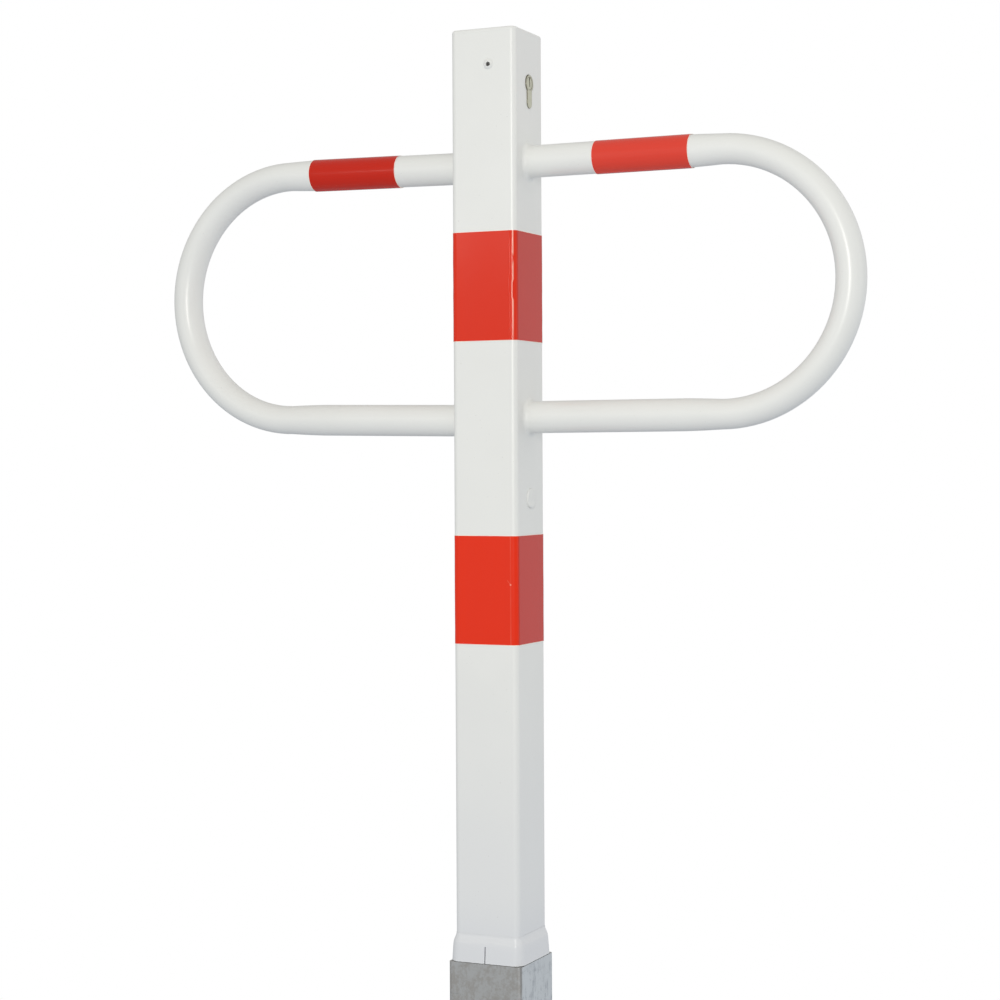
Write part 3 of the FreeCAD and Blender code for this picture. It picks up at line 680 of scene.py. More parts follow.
# %% Steel and zinc plate
def bright_steel():
    """Drawn steel with fine upright lines and oil."""
    finish, place = new_finish("drawn_steel")
    lines = grain(stretched(place, 1600, 1600, 18), 1, 2)
    oil = grain(place, 70, 3)
    set_surface(finish, {
        "Base Color": blend(oil, (0.40, 0.395, 0.39, 1), (0.62, 0.62, 0.62, 1)),
        "Metallic": 1.0,
        "Roughness": 0.22 + oil * 0.22,
        "Normal": bumped(lines, 0.02 * MM, 0.4),
    })
    return finish


def plated_steel():
    """Thin zinc plate, bluish with yellow patches."""
    finish, place = new_finish("zinc_plate")
    sheen = grain(place, 45, 3)
    set_surface(finish, {
        "Base Color": blend(fade(sheen, 0.35, 0.65), (0.58, 0.60, 0.64, 1), (0.72, 0.71, 0.66, 1)),
        "Metallic": 1.0,
        "Roughness": 0.25 + sheen * 0.15,
        "Normal": bumped(grain(place, 500, 2), 0.03 * MM, 0.3),
    })
    return finish


STEEL = bright_steel()
PLATED = plated_steel()
print("inner metals:", STEEL.name, "and", PLATED.name)

# %% [markdown]
# ## Tubes and bars
#
# Post, socket and bands are all square tubes with round corners. One could be drawn as a flat outline
# and pulled up. A tall box is quicker: its four upright edges are bevelled round, its ends are opened,
# and a modifier gives it a wall. Round bars and boxes serve as cutters.

# %% Square tubes, bars and blocks
def square_shell(name, half, corner, low, high, steps=8):
    """An open shell with a rounded square section, from one height to another."""
    clear_bench()
    bpy.ops.mesh.primitive_cube_add(size=1, location=(0, 0, (low + high) / 2),
                                    scale=(2 * half, 2 * half, high - low))
    shell = name_new(name)
    round_edges(shell, corner, steps, lambda middle, along: abs(along.z) > 0.9)
    pick_faces(shell, lambda middle, normal: abs(normal.z) > 0.9)
    bpy.ops.mesh.delete(type="FACE")
    return shell


def give_wall(shell, wall):
    """Turns an open shell into a tube, with its wall inside the shell."""
    with_modifier(shell, "SOLIDIFY", thickness=wall, offset=-1, use_even_offset=True)


def round_bar(name, radius, start, end, sides=48):
    """A round bar between two points, as a cutter."""
    start, end = Vector(start), Vector(end)
    turn = (end - start).to_track_quat("Z", "Y").to_euler()
    clear_bench()
    bpy.ops.mesh.primitive_cylinder_add(vertices=sides, radius=radius, depth=(end - start).length,
                                        location=(start + end) / 2, rotation=turn)
    bar = name_new(name)
    clear_bench()
    return bar


def block(name, low, high):
    """A box between two corners, as a cutter or a start."""
    low, high = Vector(low), Vector(high)
    clear_bench()
    bpy.ops.mesh.primitive_cube_add(size=1, location=(low + high) / 2, scale=high - low)
    return name_new(name)


def lock_bar(name, start, end, play):
    """A bar along X with the section of a profile cylinder: a round head over a narrow stem."""
    bar = round_bar(name, LOCK_ROUND + play, (start, 0, LOCK_HEIGHT), (end, 0, LOCK_HEIGHT), 64)
    foot_height = lock_low.z + STEM_HALF
    foot = round_bar("foot", STEM_HALF + play, (start, 0, foot_height), (end, 0, foot_height), 48)
    stem = block("stem", (start, -STEM_HALF - play, foot_height), (end, STEM_HALF + play, LOCK_HEIGHT))
    for piece in (foot, stem):
        join_tool(bar, piece, "UNION")
    return bar


print("lock's section:", round((lock_high.z - lock_low.z) / MM, 1), "mm high")

# %% [markdown]
# ## The post
#
# The real post is a rolled steel tube that was cut in the shop: the lock's opening, the screw's hole, the
# plug weld's hole and the bolt's window. Dark patches could stand for them, but the post can be lifted
# out and seen from all sides. So the tube is cut the same way, and the holes show the wall's thickness.

# %% Model the post tube
POST_CORNER = 6 * MM
POST_WALL = 3 * MM
BOLT_HOLE = 8.5 * MM
WELD_HOLE = 10 * MM
SCREW_HOLE = 3.3 * MM
LOCK_PLAY = 0.5 * MM
CUT = 1 * MM
post_low, post_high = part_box("post_tube")
HALF = post_high.x
bolt_low, bolt_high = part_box("latch_bolt")
BOLT_X = (bolt_low.x + bolt_high.x) / 2
BOLT_HEIGHT = (bolt_low.z + bolt_high.z) / 2
weld_low, weld_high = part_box("guide_weld")
WELD_HEIGHT = (weld_low.z + weld_high.z) / 2
screw_low, screw_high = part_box("carrier_screw")
SCREW_PLACE = Vector(((screw_low.x + screw_high.x) / 2, -HALF, (screw_low.z + screw_high.z) / 2))

post = square_shell("post_shell", HALF, POST_CORNER, post_low.z, post_high.z)
give_wall(post, POST_WALL)
inside = HALF - POST_WALL - CUT
cut_away(post, lock_bar("lock_hole", inside, HALF + CUT, LOCK_PLAY))
cut_away(post, round_bar("screw_hole", SCREW_HOLE, (SCREW_PLACE.x, -HALF - CUT, SCREW_PLACE.z),
                         (SCREW_PLACE.x, -inside, SCREW_PLACE.z)))
cut_away(post, round_bar("weld_hole", WELD_HOLE, (inside, 0, WELD_HEIGHT), (HALF + CUT, 0, WELD_HEIGHT)))
cut_away(post, round_bar("bolt_window", BOLT_HOLE, (BOLT_X, -HALF - CUT, BOLT_HEIGHT),
                         (BOLT_X, -inside, BOLT_HEIGHT)))
shade(post)
fit(post, "post", WHITE, "post_tube")

# %% [markdown]
# The cap is a flat plate welded on the tube's end and dressed flush, so its seam hardly shows. It could
# be part of the tube, but then the seam would be gone. So it is a plate of its own, whose upright edges
# follow the tube's corners and whose top edge is ground round.

# %% Model the cap
CAP_EDGE = 2.8 * MM
CAP_SEAM = 0.15 * MM
cap_low, cap_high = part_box("top_cap")
cap = block("head_cap", (-HALF, -HALF, cap_low.z), (HALF, HALF, cap_high.z))
round_edges(cap, POST_CORNER, 8, lambda middle, along: abs(along.z) > 0.9)
round_edges(cap, CAP_EDGE, 5, lambda middle, along: middle.z > cap_high.z - 0.1 * MM)
round_edges(cap, CAP_SEAM, 2, lambda middle, along: middle.z < cap_low.z + 0.1 * MM)
shade(cap)
fit(cap, "post", WHITE, "top_cap")

# %% [markdown]
# ## The hoops
#
# Each hoop is one steel tube, bent on a former into a D and welded to the post's side. A curve with a
# round bevel would be quicker, but its section stays round, and bending leaves a tube flatter. So a ring
# of points is pushed out through the weld's flare and along the top run, getting flatter near the bend,
# then spun round the bend and pushed back to the post. Both runs droop towards the post, on the left
# hoop more than on the right one.

# %% The rings of a hoop
HOOP_RADIUS = 16 * MM
HOOP_WALL = 2 * MM
WELD_LEG = 4.5 * MM
WELD_STEPS = 6
RUN_STEPS = 16
BEND_FLAT = 0.08
FLAT_START = 0.8
FLAT_SPREAD = 0.35
SAME_SIZE = 1e-6
hoop_low, hoop_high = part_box("right_hoop")
film_low, film_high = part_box("right_hoop_band")
HOOP_TOP = (film_low.z + film_high.z) / 2
HOOP_BOTTOM = hoop_low.z + (hoop_high.z - HOOP_TOP)
BEND_RADIUS = (HOOP_TOP - HOOP_BOTTOM) / 2
BEND_START = hoop_high.x - HOOP_RADIUS - BEND_RADIUS


def weld_flare():
    """Distances from the post's face and radii of the hollow flare that the weld makes."""
    steps = []
    for step in range(WELD_STEPS + 1):
        angle = math.pi / 2 * step / WELD_STEPS
        steps.append((WELD_LEG * (1 - math.cos(angle)), HOOP_RADIUS + WELD_LEG * (1 - math.sin(angle))))
    return steps


def hoop_run(ends, radius, level, droop):
    """Places along X, heights, radii and flattenings of one run's rings, from the weld to the bend."""
    rings = [(HALF + out, level - droop, size, 0) for out, size in ends]
    run_start = rings[-1][0]
    for step in range(1, RUN_STEPS + 1):
        share = step / RUN_STEPS
        place = run_start + (BEND_START - run_start) * share
        flat = BEND_FLAT * max(0, (share - FLAT_START) / (1 - FLAT_START)) ** 1.5
        rings.append((place, level - droop * (1 - share), radius, flat))
    return rings


print("hoops: bend radius", round(BEND_RADIUS / MM, 1), "mm, from x", round(BEND_START / MM, 1), "mm")

# %% [markdown]
# A list of rings says where the tube goes. By hand, one would push the ring and resize it each time, but
# the runs of a hoop have over forty, so a helper takes it through the list.

# %% Push a ring
def push_ring(rings):
    """Pushes the selected ring through a list of rings. A flattened ring is lower and a little wider."""
    place, height, radius, flat = rings[0]
    for ring in rings[1:]:
        next_place, next_height, next_radius, next_flat = ring
        push((next_place - place, 0, next_height - height))
        across = next_radius * (1 + next_flat * FLAT_SPREAD) / (radius * (1 + flat * FLAT_SPREAD))
        upright = next_radius * (1 - next_flat) / (radius * (1 - flat))
        if abs(across - 1) + abs(upright - 1) > SAME_SIZE:
            bpy.ops.transform.resize(value=(1, across, upright),
                                     center_override=(next_place, 0, next_height))
        place, height, radius, flat = ring


def start_ring(name, sides, radius, place, height):
    """A ring of points across X, ready to be pushed along it."""
    clear_bench()
    bpy.ops.mesh.primitive_circle_add(vertices=sides, radius=radius, location=(place, 0, height),
                                      rotation=(0, math.pi / 2, 0))
    return name_new(name)


print("rings:", len(hoop_run(weld_flare(), HOOP_RADIUS, HOOP_TOP, 0)), "on each run")

# %% [markdown]
# A modifier could give the tube its wall, but the hollow would then widen with the weld's flare. So it is
# a second, smaller skin. The weld under the paint is never quite even, so the flare's points are
# roughened, which a bump in the paint couldn't do to its outline.

# %% Skins and welds of a hoop
HOOP_SIDES = 48
BEND_STEPS = 56
FLARE_UNEVEN = 0.55 * MM


def hoop_skin(name, ends, radius, droop):
    """One skin of the right hoop, from weld to weld, whose ends follow a list of places and radii."""
    top = hoop_run(ends, radius, HOOP_TOP, droop)
    place, height, size = top[0][:3]
    skin = start_ring(name, HOOP_SIDES, size, place, height)
    push_ring(top)
    bpy.ops.mesh.spin(steps=BEND_STEPS, angle=-math.pi, axis=(0, 1, 0),
                      center=(BEND_START, 0, (HOOP_TOP + HOOP_BOTTOM) / 2))
    push_ring(hoop_run(ends, radius, HOOP_BOTTOM, droop)[::-1])
    return skin


def soften_weld(piece, height, seed):
    """Makes the flare round one end of a hoop slightly uneven, as a painted weld is."""
    def in_flare(point):
        off_axis = Vector((point.y, point.z - height)).length
        outside = HOOP_RADIUS - 0.1 * MM < off_axis < HOOP_RADIUS + WELD_LEG + CUT
        return outside and HALF + 0.05 * MM < point.x < HALF + WELD_LEG + 0.05 * MM

    pick_points(piece, in_flare)
    roughen(FLARE_UNEVEN, seed, 2)


print("skins:", HOOP_SIDES, "points round, flares uneven by", FLARE_UNEVEN / MM, "mm")

# %% [markdown]
# The two skins are joined at both ends. The left hoop could be a mirrored copy, but its welds and its
# droop differ, so it is made anew in the same way and then mirrored. That turns it inside out, so its
# faces are turned outwards again.

# %% Model the hoops
RIGHT_DROOP = 0.4 * MM
LEFT_DROOP = 3.0 * MM


def model_hoop(name, seed, droop):
    """A hoop's tube on the right side, with its outer and inner skin joined."""
    hoop = hoop_skin(name, weld_flare(), HOOP_RADIUS, droop)
    bore_radius = HOOP_RADIUS - HOOP_WALL
    bore = hoop_skin("bore", [(0, bore_radius), (WELD_LEG, bore_radius)], bore_radius, droop)
    take_up(hoop, "OBJECT")
    bore.select_set(True)
    bpy.ops.object.join()
    take_up(hoop)
    ends = (HOOP_TOP - droop, HOOP_BOTTOM - droop)
    for height in ends:
        pick_edges(hoop, lambda middle, along: middle.x < HALF + 0.01 * MM
                   and abs(middle.z - height) < 2 * HOOP_RADIUS and abs(along.x) < 0.1)
        bpy.ops.mesh.bridge_edge_loops()
    turn_outwards()
    for height in ends:
        soften_weld(hoop, height, seed)
    return hoop


right_hoop = model_hoop("right_hoop_tube", 3, RIGHT_DROOP)
left_hoop = model_hoop("left_hoop_tube", 8, LEFT_DROOP)
bpy.ops.mesh.select_all(action="SELECT")
bpy.ops.transform.resize(value=(-1, 1, 1), center_override=(0, 0, 0))
bpy.ops.mesh.normals_make_consistent(inside=False)
for hoop, node in ((right_hoop, "right_hoop"), (left_hoop, "left_hoop")):
    shade(hoop, 50)
    fit(hoop, "post", WHITE, node)

# %% [markdown]
# ## The film bands
#
# A band is a strip of film wrapped once round the post, with its end lapped over its start at the back.
# It could be painted on by a mask, but real film has a thickness and cut edges that catch the light. So
# it is a thin shell, cut across its height so that its corners can crease a little, and the narrow strip
# along each cut edge gets the pale finish.

# %% Cut edges and the rib
FILM = 0.3 * MM
FILM_CUT = 0.45 * MM
RIB_PLACE = 28.6 * MM
RIB_HALF = 0.7 * MM
RIB_RISE = 0.26 * MM
RIB_JOG = 1.0 * MM
RIB_JOG_REACH = 9 * MM


def edge_strip(band, axis, low, high):
    """Gives the pale finish to a narrow strip of faces along each of a band's two cut edges."""
    normal = Vector((axis == 0, axis == 1, axis == 2))
    for place in (low + FILM_CUT, high - FILM_CUT):
        cut_across(normal * place, normal)
    paint_part(band, RED, RED_EDGE, lambda middle, normal: middle[axis] < low + FILM_CUT
               or middle[axis] > high - FILM_CUT)


def raise_rib(band, half, low, high):
    """A crease beside the near corner, which jogs sideways at half height."""
    for offset in (-RIB_HALF, 0, RIB_HALF):
        cut_across((RIB_PLACE + offset, 0, 0), (1, 0, 0))

    def near_rib(point, reach):
        return point.y < -half + 0.3 * MM and abs(point.x - RIB_PLACE) < reach + 0.1 * MM

    ridge = pick_points(band, lambda point: near_rib(point, 0) and low.z + CUT < point.z < high.z - CUT)
    bpy.ops.transform.translate(value=(0, -RIB_RISE, 0))
    jog_height = (low.z + high.z) / 2
    pick_points(band, lambda point: near_rib(point, RIB_HALF) and abs(point.z - jog_height) < RIB_JOG_REACH)
    bpy.ops.transform.translate(value=(-RIB_JOG, 0, 0))
    print("rib:", ridge, "points")


print("film:", FILM / MM, "mm thick")

# %% [markdown]
# One function makes both bands, because they differ only in height, in their creases, and in the raised
# rib that only the upper one has. The lap at the back could be a second strip, but with its faces pushed
# out by one thickness the film stays in one piece.

# %% Model the bands on the post
BAND_CUTS = 14
LAP_EDGES = (-7 * MM, 6 * MM)


def post_band(node, name, crease, seed, ribbed):
    """A film band round the post, creased a little at its corners."""
    low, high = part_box(node)
    half = high.x
    corner = POST_CORNER + half - HALF
    band = square_shell(name, half, corner, low.z, high.z)
    for cut in range(1, BAND_CUTS):
        cut_across((0, 0, low.z + (high.z - low.z) * cut / BAND_CUTS), (0, 0, 1))
    pick_points(band, lambda point: low.z + CUT < point.z < high.z - CUT and abs(point.x) > half - corner
                and abs(point.y) > half - corner)
    roughen(crease, seed, 1)
    if ribbed:
        raise_rib(band, half, low, high)
    edge_strip(band, 2, low.z, high.z)
    for place in LAP_EDGES:
        cut_across((place, 0, 0), (1, 0, 0))
    clear_bench()
    give_wall(band, FILM)
    take_up(band)
    pick_faces(band, lambda middle, normal: normal.y > 0.9 and middle.y > half - 0.1 * MM
               and LAP_EDGES[0] < middle.x < LAP_EDGES[1])
    push((0, FILM, 0))
    shade(band)
    fit(band, "post", RED, node)


post_band("upper_post_band", "upper_film", 0.22 * MM, 5, True)
post_band("lower_post_band", "lower_film", 0.12 * MM, 12, False)

# %% [markdown]
# The hoop bands are narrower strips of the same film, rolled round the tube with their lap underneath.
# They could be cut out of the hoop's own faces, but they stand proud of it, so each is a ring of its own
# that is pushed along the run's slope.

# %% Model the bands on the hoops
BAND_SIDES = 64


def hoop_band(node, name, droop):
    """A film band round the top run of a hoop, which follows the run's slope."""
    low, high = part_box(node)
    radius = (high.z - low.z) / 2
    start, end = [HOOP_TOP - droop * (BEND_START - abs(place)) / (BEND_START - HALF)
                  for place in (low.x, high.x)]
    band = start_ring(name, BAND_SIDES, radius, low.x, start)
    push((high.x - low.x, 0, end - start))
    turn_outwards()
    edge_strip(band, 0, low.x, high.x)
    clear_bench()
    give_wall(band, FILM)
    take_up(band)
    pick_faces(band, lambda middle, normal: normal.z < -0.97 and middle.z < HOOP_TOP)
    push((0, 0, -FILM))
    shade(band, 50)
    fit(band, "post", RED, node)


hoop_band("right_hoop_band", "right_hoop_film", RIGHT_DROOP)
hoop_band("left_hoop_band", "left_hoop_film", LEFT_DROOP)

# %% [markdown]
# ## The ground collar
#
# The collar hides the gap between post and socket. It is a strip folded round the post, with a sloped
# weld above it. A bevelled box would round its top, but not with this slope. So a flat rounded square is
# inset and raised in steps that keep an even width round the corners: first the skirt, which leans in a
# little from a flared lip, then the slope, which leaves the skirt softly.

# %% Raise the collar
SKIRT_HEIGHT = 17.6 * MM
SKIRT_LEAN = 1.4 * MM
LIP_FLARE = 0.45 * MM
LIP_HEIGHT = 1.6 * MM
COLLAR_FIT = 0.1 * MM
COLLAR_LIP = 0.25 * MM
SLOPE_STEPS = 9
SLOPE_REACH = 0.9
SLOPE_CURVE = 0.45
collar_low, collar_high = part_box("ground_collar")


def slope_steps(width, height):
    """Insets and rises of a slope that leaves the skirt softly and runs out softly up the post."""
    steps = []
    before = 0
    for step in range(1, SLOPE_STEPS + 1):
        share = min(1, step / SLOPE_STEPS / SLOPE_REACH)
        soft = 3 * share ** 2 - 2 * share ** 3
        inwards = width * (SLOPE_CURVE * soft + (1 - SLOPE_CURVE) * share)
        steps.append((max(inwards - before, 0.01 * MM), height / SLOPE_STEPS))
        before = inwards
    return steps


clear_bench()
bpy.ops.mesh.primitive_plane_add(size=2 * collar_high.x, location=(0, 0, collar_low.z))
collar = name_new("collar_ring")
bpy.ops.mesh.bevel(offset=POST_CORNER + collar_high.x - HALF, offset_type="OFFSET", segments=12,
                   affect="VERTICES")
bpy.ops.mesh.select_all(action="SELECT")
slope_width = collar_high.x - SKIRT_LEAN - HALF - COLLAR_LIP - COLLAR_FIT
collar_steps = [(LIP_FLARE, LIP_HEIGHT), (SKIRT_LEAN - LIP_FLARE, SKIRT_HEIGHT - LIP_HEIGHT)]
collar_steps += slope_steps(slope_width, collar_high.z - collar_low.z - SKIRT_HEIGHT)
collar_steps += [(COLLAR_LIP, 0)]
for width, rise in collar_steps:
    bpy.ops.mesh.inset(thickness=width, depth=rise, use_even_offset=True)
push((0, 0, collar_low.z - collar_high.z))
bpy.ops.mesh.delete(type="FACE")
pick_edges(collar, lambda middle, along: middle.z < collar_low.z + 0.01 * MM)
bpy.ops.mesh.bridge_edge_loops()
turn_outwards()
print("collar:", len(collar_steps), "steps")

# %% [markdown]
# Hand work shows in the real collar: its lower edge is slightly wavy, the weld above is lumpy, and the
# strip's two ends leave a slit at the front. A bump in the material could fake the lumps, but not the
# outline, so the mesh itself is cut finer and roughened.

# %% Finish the collar
SKIRT_CUTS = 9
RIM_ROUND = 0.5 * MM
RIM_UNEVEN = 0.16 * MM
SLOPE_UNEVEN = 0.3 * MM
SLIT_WIDTH = 1.2 * MM
SLIT_HEIGHT = 16.8 * MM


def outside_post(place, distance):
    """Whether a place lies farther out than a distance from the post's faces."""
    return max(abs(place.x), abs(place.y)) > HALF + distance


flat_reach = HALF - POST_CORNER
for axis in (Vector((1, 0, 0)), Vector((0, 1, 0))):
    for cut in range(SKIRT_CUTS):
        cut_across(axis * (-flat_reach + 2 * flat_reach * cut / (SKIRT_CUTS - 1)), axis)
round_edges(collar, RIM_ROUND, 3, lambda middle, along: outside_post(middle, 2 * CUT)
            and middle.z < collar_low.z + 0.01 * MM and abs(along.z) < 0.1)
pick_points(collar, lambda point: outside_post(point, CUT) and point.z < collar_low.z + 0.8 * MM)
roughen(RIM_UNEVEN, 21, 2, sideways=0.2)
pick_points(collar, lambda point: collar_low.z + SKIRT_HEIGHT - 1 * MM < point.z < collar_high.z - 1.5 * MM
            and outside_post(point, COLLAR_FIT))
roughen(SLOPE_UNEVEN, 9, 2)
slit = block("slit", (-SLIT_WIDTH / 2, -collar_high.x - CUT, collar_low.z - CUT),
             (SLIT_WIDTH / 2, -HALF, collar_low.z + SLIT_HEIGHT))
round_edges(slit, 0.49 * SLIT_WIDTH, 5, lambda middle, along: abs(along.y) > 0.9
            and middle.z > collar_low.z)
cut_away(collar, slit)
shade(collar, 40)
fit(collar, "post", WHITE, "ground_collar")

# %% [markdown]
# ## Turned pieces
#
# The screw's head, the plug weld and the strike cup are round about one axis. A cylinder could be
# squeezed into each, but their outlines differ. So each is drawn as half an outline, by pushing one
# point along, and then spun a full turn, as on a lathe.

# %% A lathe
def turned(name, outline, centre, axis, sides=48):
    """A round piece about X or Y. The outline is a list of distances along the axis and radii."""
    along = Vector(axis)
    clear_bench()
    bpy.ops.mesh.primitive_plane_add(size=MM, location=centre)
    piece = name_new(name)
    bpy.ops.mesh.merge(type="CENTER")
    places = [Vector(centre) + along * out + Vector((0, 0, radius)) for out, radius in outline]
    bpy.ops.transform.translate(value=places[0] - Vector(centre))
    for here, there in zip(places, places[1:]):
        push(there - here)
    bpy.ops.mesh.select_all(action="SELECT")
    bpy.ops.mesh.spin(steps=sides, angle=2 * math.pi, center=centre, axis=axis)
    turn_outwards()
    return piece


def dome(radius, height, steps, out=0.0):
    """Distances and radii of a shallow ball cap, from its crown to its rim."""
    ball = (radius ** 2 + height ** 2) / (2 * height)
    rim = math.asin(min(1.0, radius / ball))
    profile = []
    for step in range(steps + 1):
        angle = rim * step / steps
        profile.append((out + height - ball * (1 - math.cos(angle)), ball * math.sin(angle)))
    return profile


def quarter(start, end, steps):
    """A quarter of an ellipse from one place to another, which starts outwards and ends along the axis."""
    profile = []
    for step in range(1, steps + 1):
        angle = math.pi / 2 * step / steps
        profile.append((end[0] + (start[0] - end[0]) * math.cos(angle),
                        start[1] + (end[1] - start[1]) * math.sin(angle)))
    return profile


print("lathe: a dome of 8 steps has", len(dome(1, 1, 8)), "places")

# %% [markdown]
# The carrier screw is a button-head screw with a hexagon socket, painted over with the post. The socket
# could be a dark dot, but it shows its depth when seen at a slant, so it is cut with a six-sided bar. It
# sits a little off the middle, where the paint has filled one side.

# %% Model the carrier screw
HEAD_RADIUS = 5.25 * MM
HEAD_HEIGHT = -HALF - screw_low.y
SHANK_RADIUS = 3 * MM
HEX_WIDTH = 4 * MM
HEX_DEPTH = 2.2 * MM
HEX_OFF = Vector((0.6 * MM, 0, -0.3 * MM))
HEX_EDGE = 0.18 * MM
hex_place = SCREW_PLACE + HEX_OFF
shank_end = -(screw_high.y + HALF)


def off_hexagon(place):
    """How far a place lies from the hexagon's axis."""
    return (place - hex_place).xz.length


outline = dome(HEAD_RADIUS, HEAD_HEIGHT, 8) + [(0, SHANK_RADIUS), (shank_end, SHANK_RADIUS), (shank_end, 0)]
screw = turned("carrier_screw_head", outline, SCREW_PLACE, (0, -1, 0))
key = round_bar("hexagon", HEX_WIDTH / math.sqrt(3), (hex_place.x, screw_low.y + HEX_DEPTH, hex_place.z),
                (hex_place.x, screw_low.y - CUT, hex_place.z), 6)
cut_away(screw, key)
take_up(screw)
round_edges(screw, HEX_EDGE, 2, lambda middle, along: abs(along.y) < 0.3
            and middle.y < screw_low.y + 0.5 * MM and off_hexagon(middle) < HEX_WIDTH * 0.6)
# The inside of the hexagon socket gets dark paint: dust, and painted shade in the recess.
paint_part(screw, WHITE, HOLLOW_SHADE, lambda middle, normal: off_hexagon(middle) < HEX_WIDTH * 0.62
           and screw_low.y + 0.7 * MM < middle.y < -HALF + CUT)
shade(screw)
fit(screw, "post", WHITE, "carrier_screw")

# %% [markdown]
# A plug weld holds the rod guide inside the post. It was ground to a low, uneven dome with a round rim,
# and it sags a little, so its lower edge stands out more and lies in shade. A plain dome would hardly
# show under the paint, so the rim is drawn as a quarter of an ellipse and the lower part is pulled out.

# %% Model the plug weld
WELD_CROWN = 0.35 * MM
WELD_RIM = 2.0 * MM
WELD_RISE = 1.25 * MM
WELD_SAG = 0.7 * MM
WELD_UNEVEN = 0.3 * MM
weld_radius = (weld_high.z - weld_low.z) / 2
weld_depth = weld_low.x - HALF
outline = dome(weld_radius - WELD_RIM, WELD_CROWN, 6, WELD_RISE)
outline += quarter((WELD_RISE, weld_radius - WELD_RIM), (0, weld_radius), 6)
outline += [(weld_depth, weld_radius), (weld_depth, 0)]
guide_weld = turned("plug_weld", outline, Vector((HALF, 0, WELD_HEIGHT)), (1, 0, 0), 40)
pick_points(guide_weld, lambda point: point.x > HALF + 0.3 * MM
            and point.z < WELD_HEIGHT - 0.55 * weld_radius)
bpy.ops.transform.translate(value=(WELD_SAG, 0, -0.4 * WELD_SAG))
pick_points(guide_weld, lambda point: point.x > HALF + 0.05 * MM)
roughen(WELD_UNEVEN, 4, 2)
shade(guide_weld, 60)
fit(guide_weld, "post", WHITE, "guide_weld")

# %% [markdown]
# ## The ground socket
#
# The socket is a wider square tube that is set in concrete. It is open below, so that water drains. Its
# holes and slots are cut as in the post. Their edges could be picked one by one, but the zinc has rounded
# them all alike, so a bevel finds them by their angle.

# %% Model the socket tube
SOCKET_CORNER = 4 * MM
SOCKET_WALL = 3 * MM
SOCKET_EDGE = 0.25 * MM
BAR_HALF = 28 * MM
BAR_THICK = 8 * MM
BAR_PLAY = 0.1 * MM
ANCHOR_HOLE = 3 * MM
ANCHOR_RISE = 15 * MM
socket_low, socket_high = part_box("socket_tube")
SOCKET_HALF = socket_high.x
bar_low, bar_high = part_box("stop_bar")
BAR_HEIGHT = (bar_low.z + bar_high.z) / 2
anchor_height = socket_low.z + ANCHOR_RISE

socket = square_shell("socket_shell", SOCKET_HALF, SOCKET_CORNER, socket_low.z, socket_high.z, 6)
give_wall(socket, SOCKET_WALL)
reach = SOCKET_HALF + CUT
cut_away(socket, round_bar("bolt_hole", BOLT_HOLE, (BOLT_X, -reach, BOLT_HEIGHT), (BOLT_X, 0, BOLT_HEIGHT)))
cut_away(socket, block("bar_slot", (-BAR_HALF - BAR_PLAY, -reach, BAR_HEIGHT - BAR_THICK / 2 - BAR_PLAY),
                       (BAR_HALF + BAR_PLAY, reach, BAR_HEIGHT + BAR_THICK / 2 + BAR_PLAY)))
cut_away(socket, round_bar("anchor_hole", ANCHOR_HOLE, (-reach, 0, anchor_height),
                           (reach, 0, anchor_height)))
with_modifier(socket, "BEVEL", width=SOCKET_EDGE, segments=2, limit_method="ANGLE",
              angle_limit=math.radians(50))
shade(socket)
fit(socket, "ground_socket", ZINC, "socket_tube")

# %% [markdown]
# A small cup is welded over the bolt's hole to keep the concrete out, and its weld is a lumpy ring. Cup
# and weld could be two pieces, but the zinc has run over both, so one outline is turned and the ring's
# points are roughened.

# %% Model the strike cup
CUP_WALL = 1.5 * MM
CUP_RADIUS = 10 * MM
CUP_ROUND = 3 * MM
CUP_SHOULDER = 2.4 * MM
CUP_UNEVEN = 1.1 * MM
cup_low, cup_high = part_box("strike_cup")
cup_rim = (cup_high.x - cup_low.x) / 2
cup_floor = cup_high.y - cup_low.y
cup_inside = cup_floor - CUP_WALL
cup_flat = (cup_floor, CUP_RADIUS - CUP_ROUND)
outline = [(cup_inside, 0), (cup_inside, BOLT_HOLE), (0, BOLT_HOLE), (0, cup_rim), (0.8 * MM, cup_rim)]
outline += [(1.2 * MM, cup_rim - 0.8 * MM), (1.8 * MM, CUP_RADIUS + 0.6 * MM)]
outline += quarter(cup_flat, (CUP_SHOULDER, CUP_RADIUS), 5)[::-1]
outline += [cup_flat, (cup_floor, 4 * MM), (cup_floor, 0)]
cup = turned("strike_cup_shell", outline, Vector((BOLT_X, -SOCKET_HALF, BOLT_HEIGHT)), (0, -1, 0), 56)
pick_points(cup, lambda point: point.y < -SOCKET_HALF - 0.3 * MM
            and (point.xz - Vector((BOLT_X, BOLT_HEIGHT))).length > BOLT_HOLE + 0.5 * MM)
roughen(CUP_UNEVEN, 6, 2)
shade(cup, 50)
fit(cup, "ground_socket", ZINC, "strike_cup")

# %% [markdown]
# The post's foot stands on a flat bar that goes through both walls of the socket. A rippled weld bead
# closes each end of it. A bead could be a row of small domes. One long round bar is simpler: it is cut
# across many times, and at every second cut it is made a little thinner.

# %% Weld beads
RIPPLES = 22
RIPPLE_SIZES = (0.9, 1.0)
BEAD_END_SIZES = (0.55, 0.82)
BEAD_SIDES = 28
BEAD_UNEVEN = 0.25 * MM
BEAD_SINK = 0.05 * MM
bead_half = bar_high.x
bead_rise = (bar_high.z - bar_low.z) / 2
bead_crown = bar_high.y - SOCKET_HALF


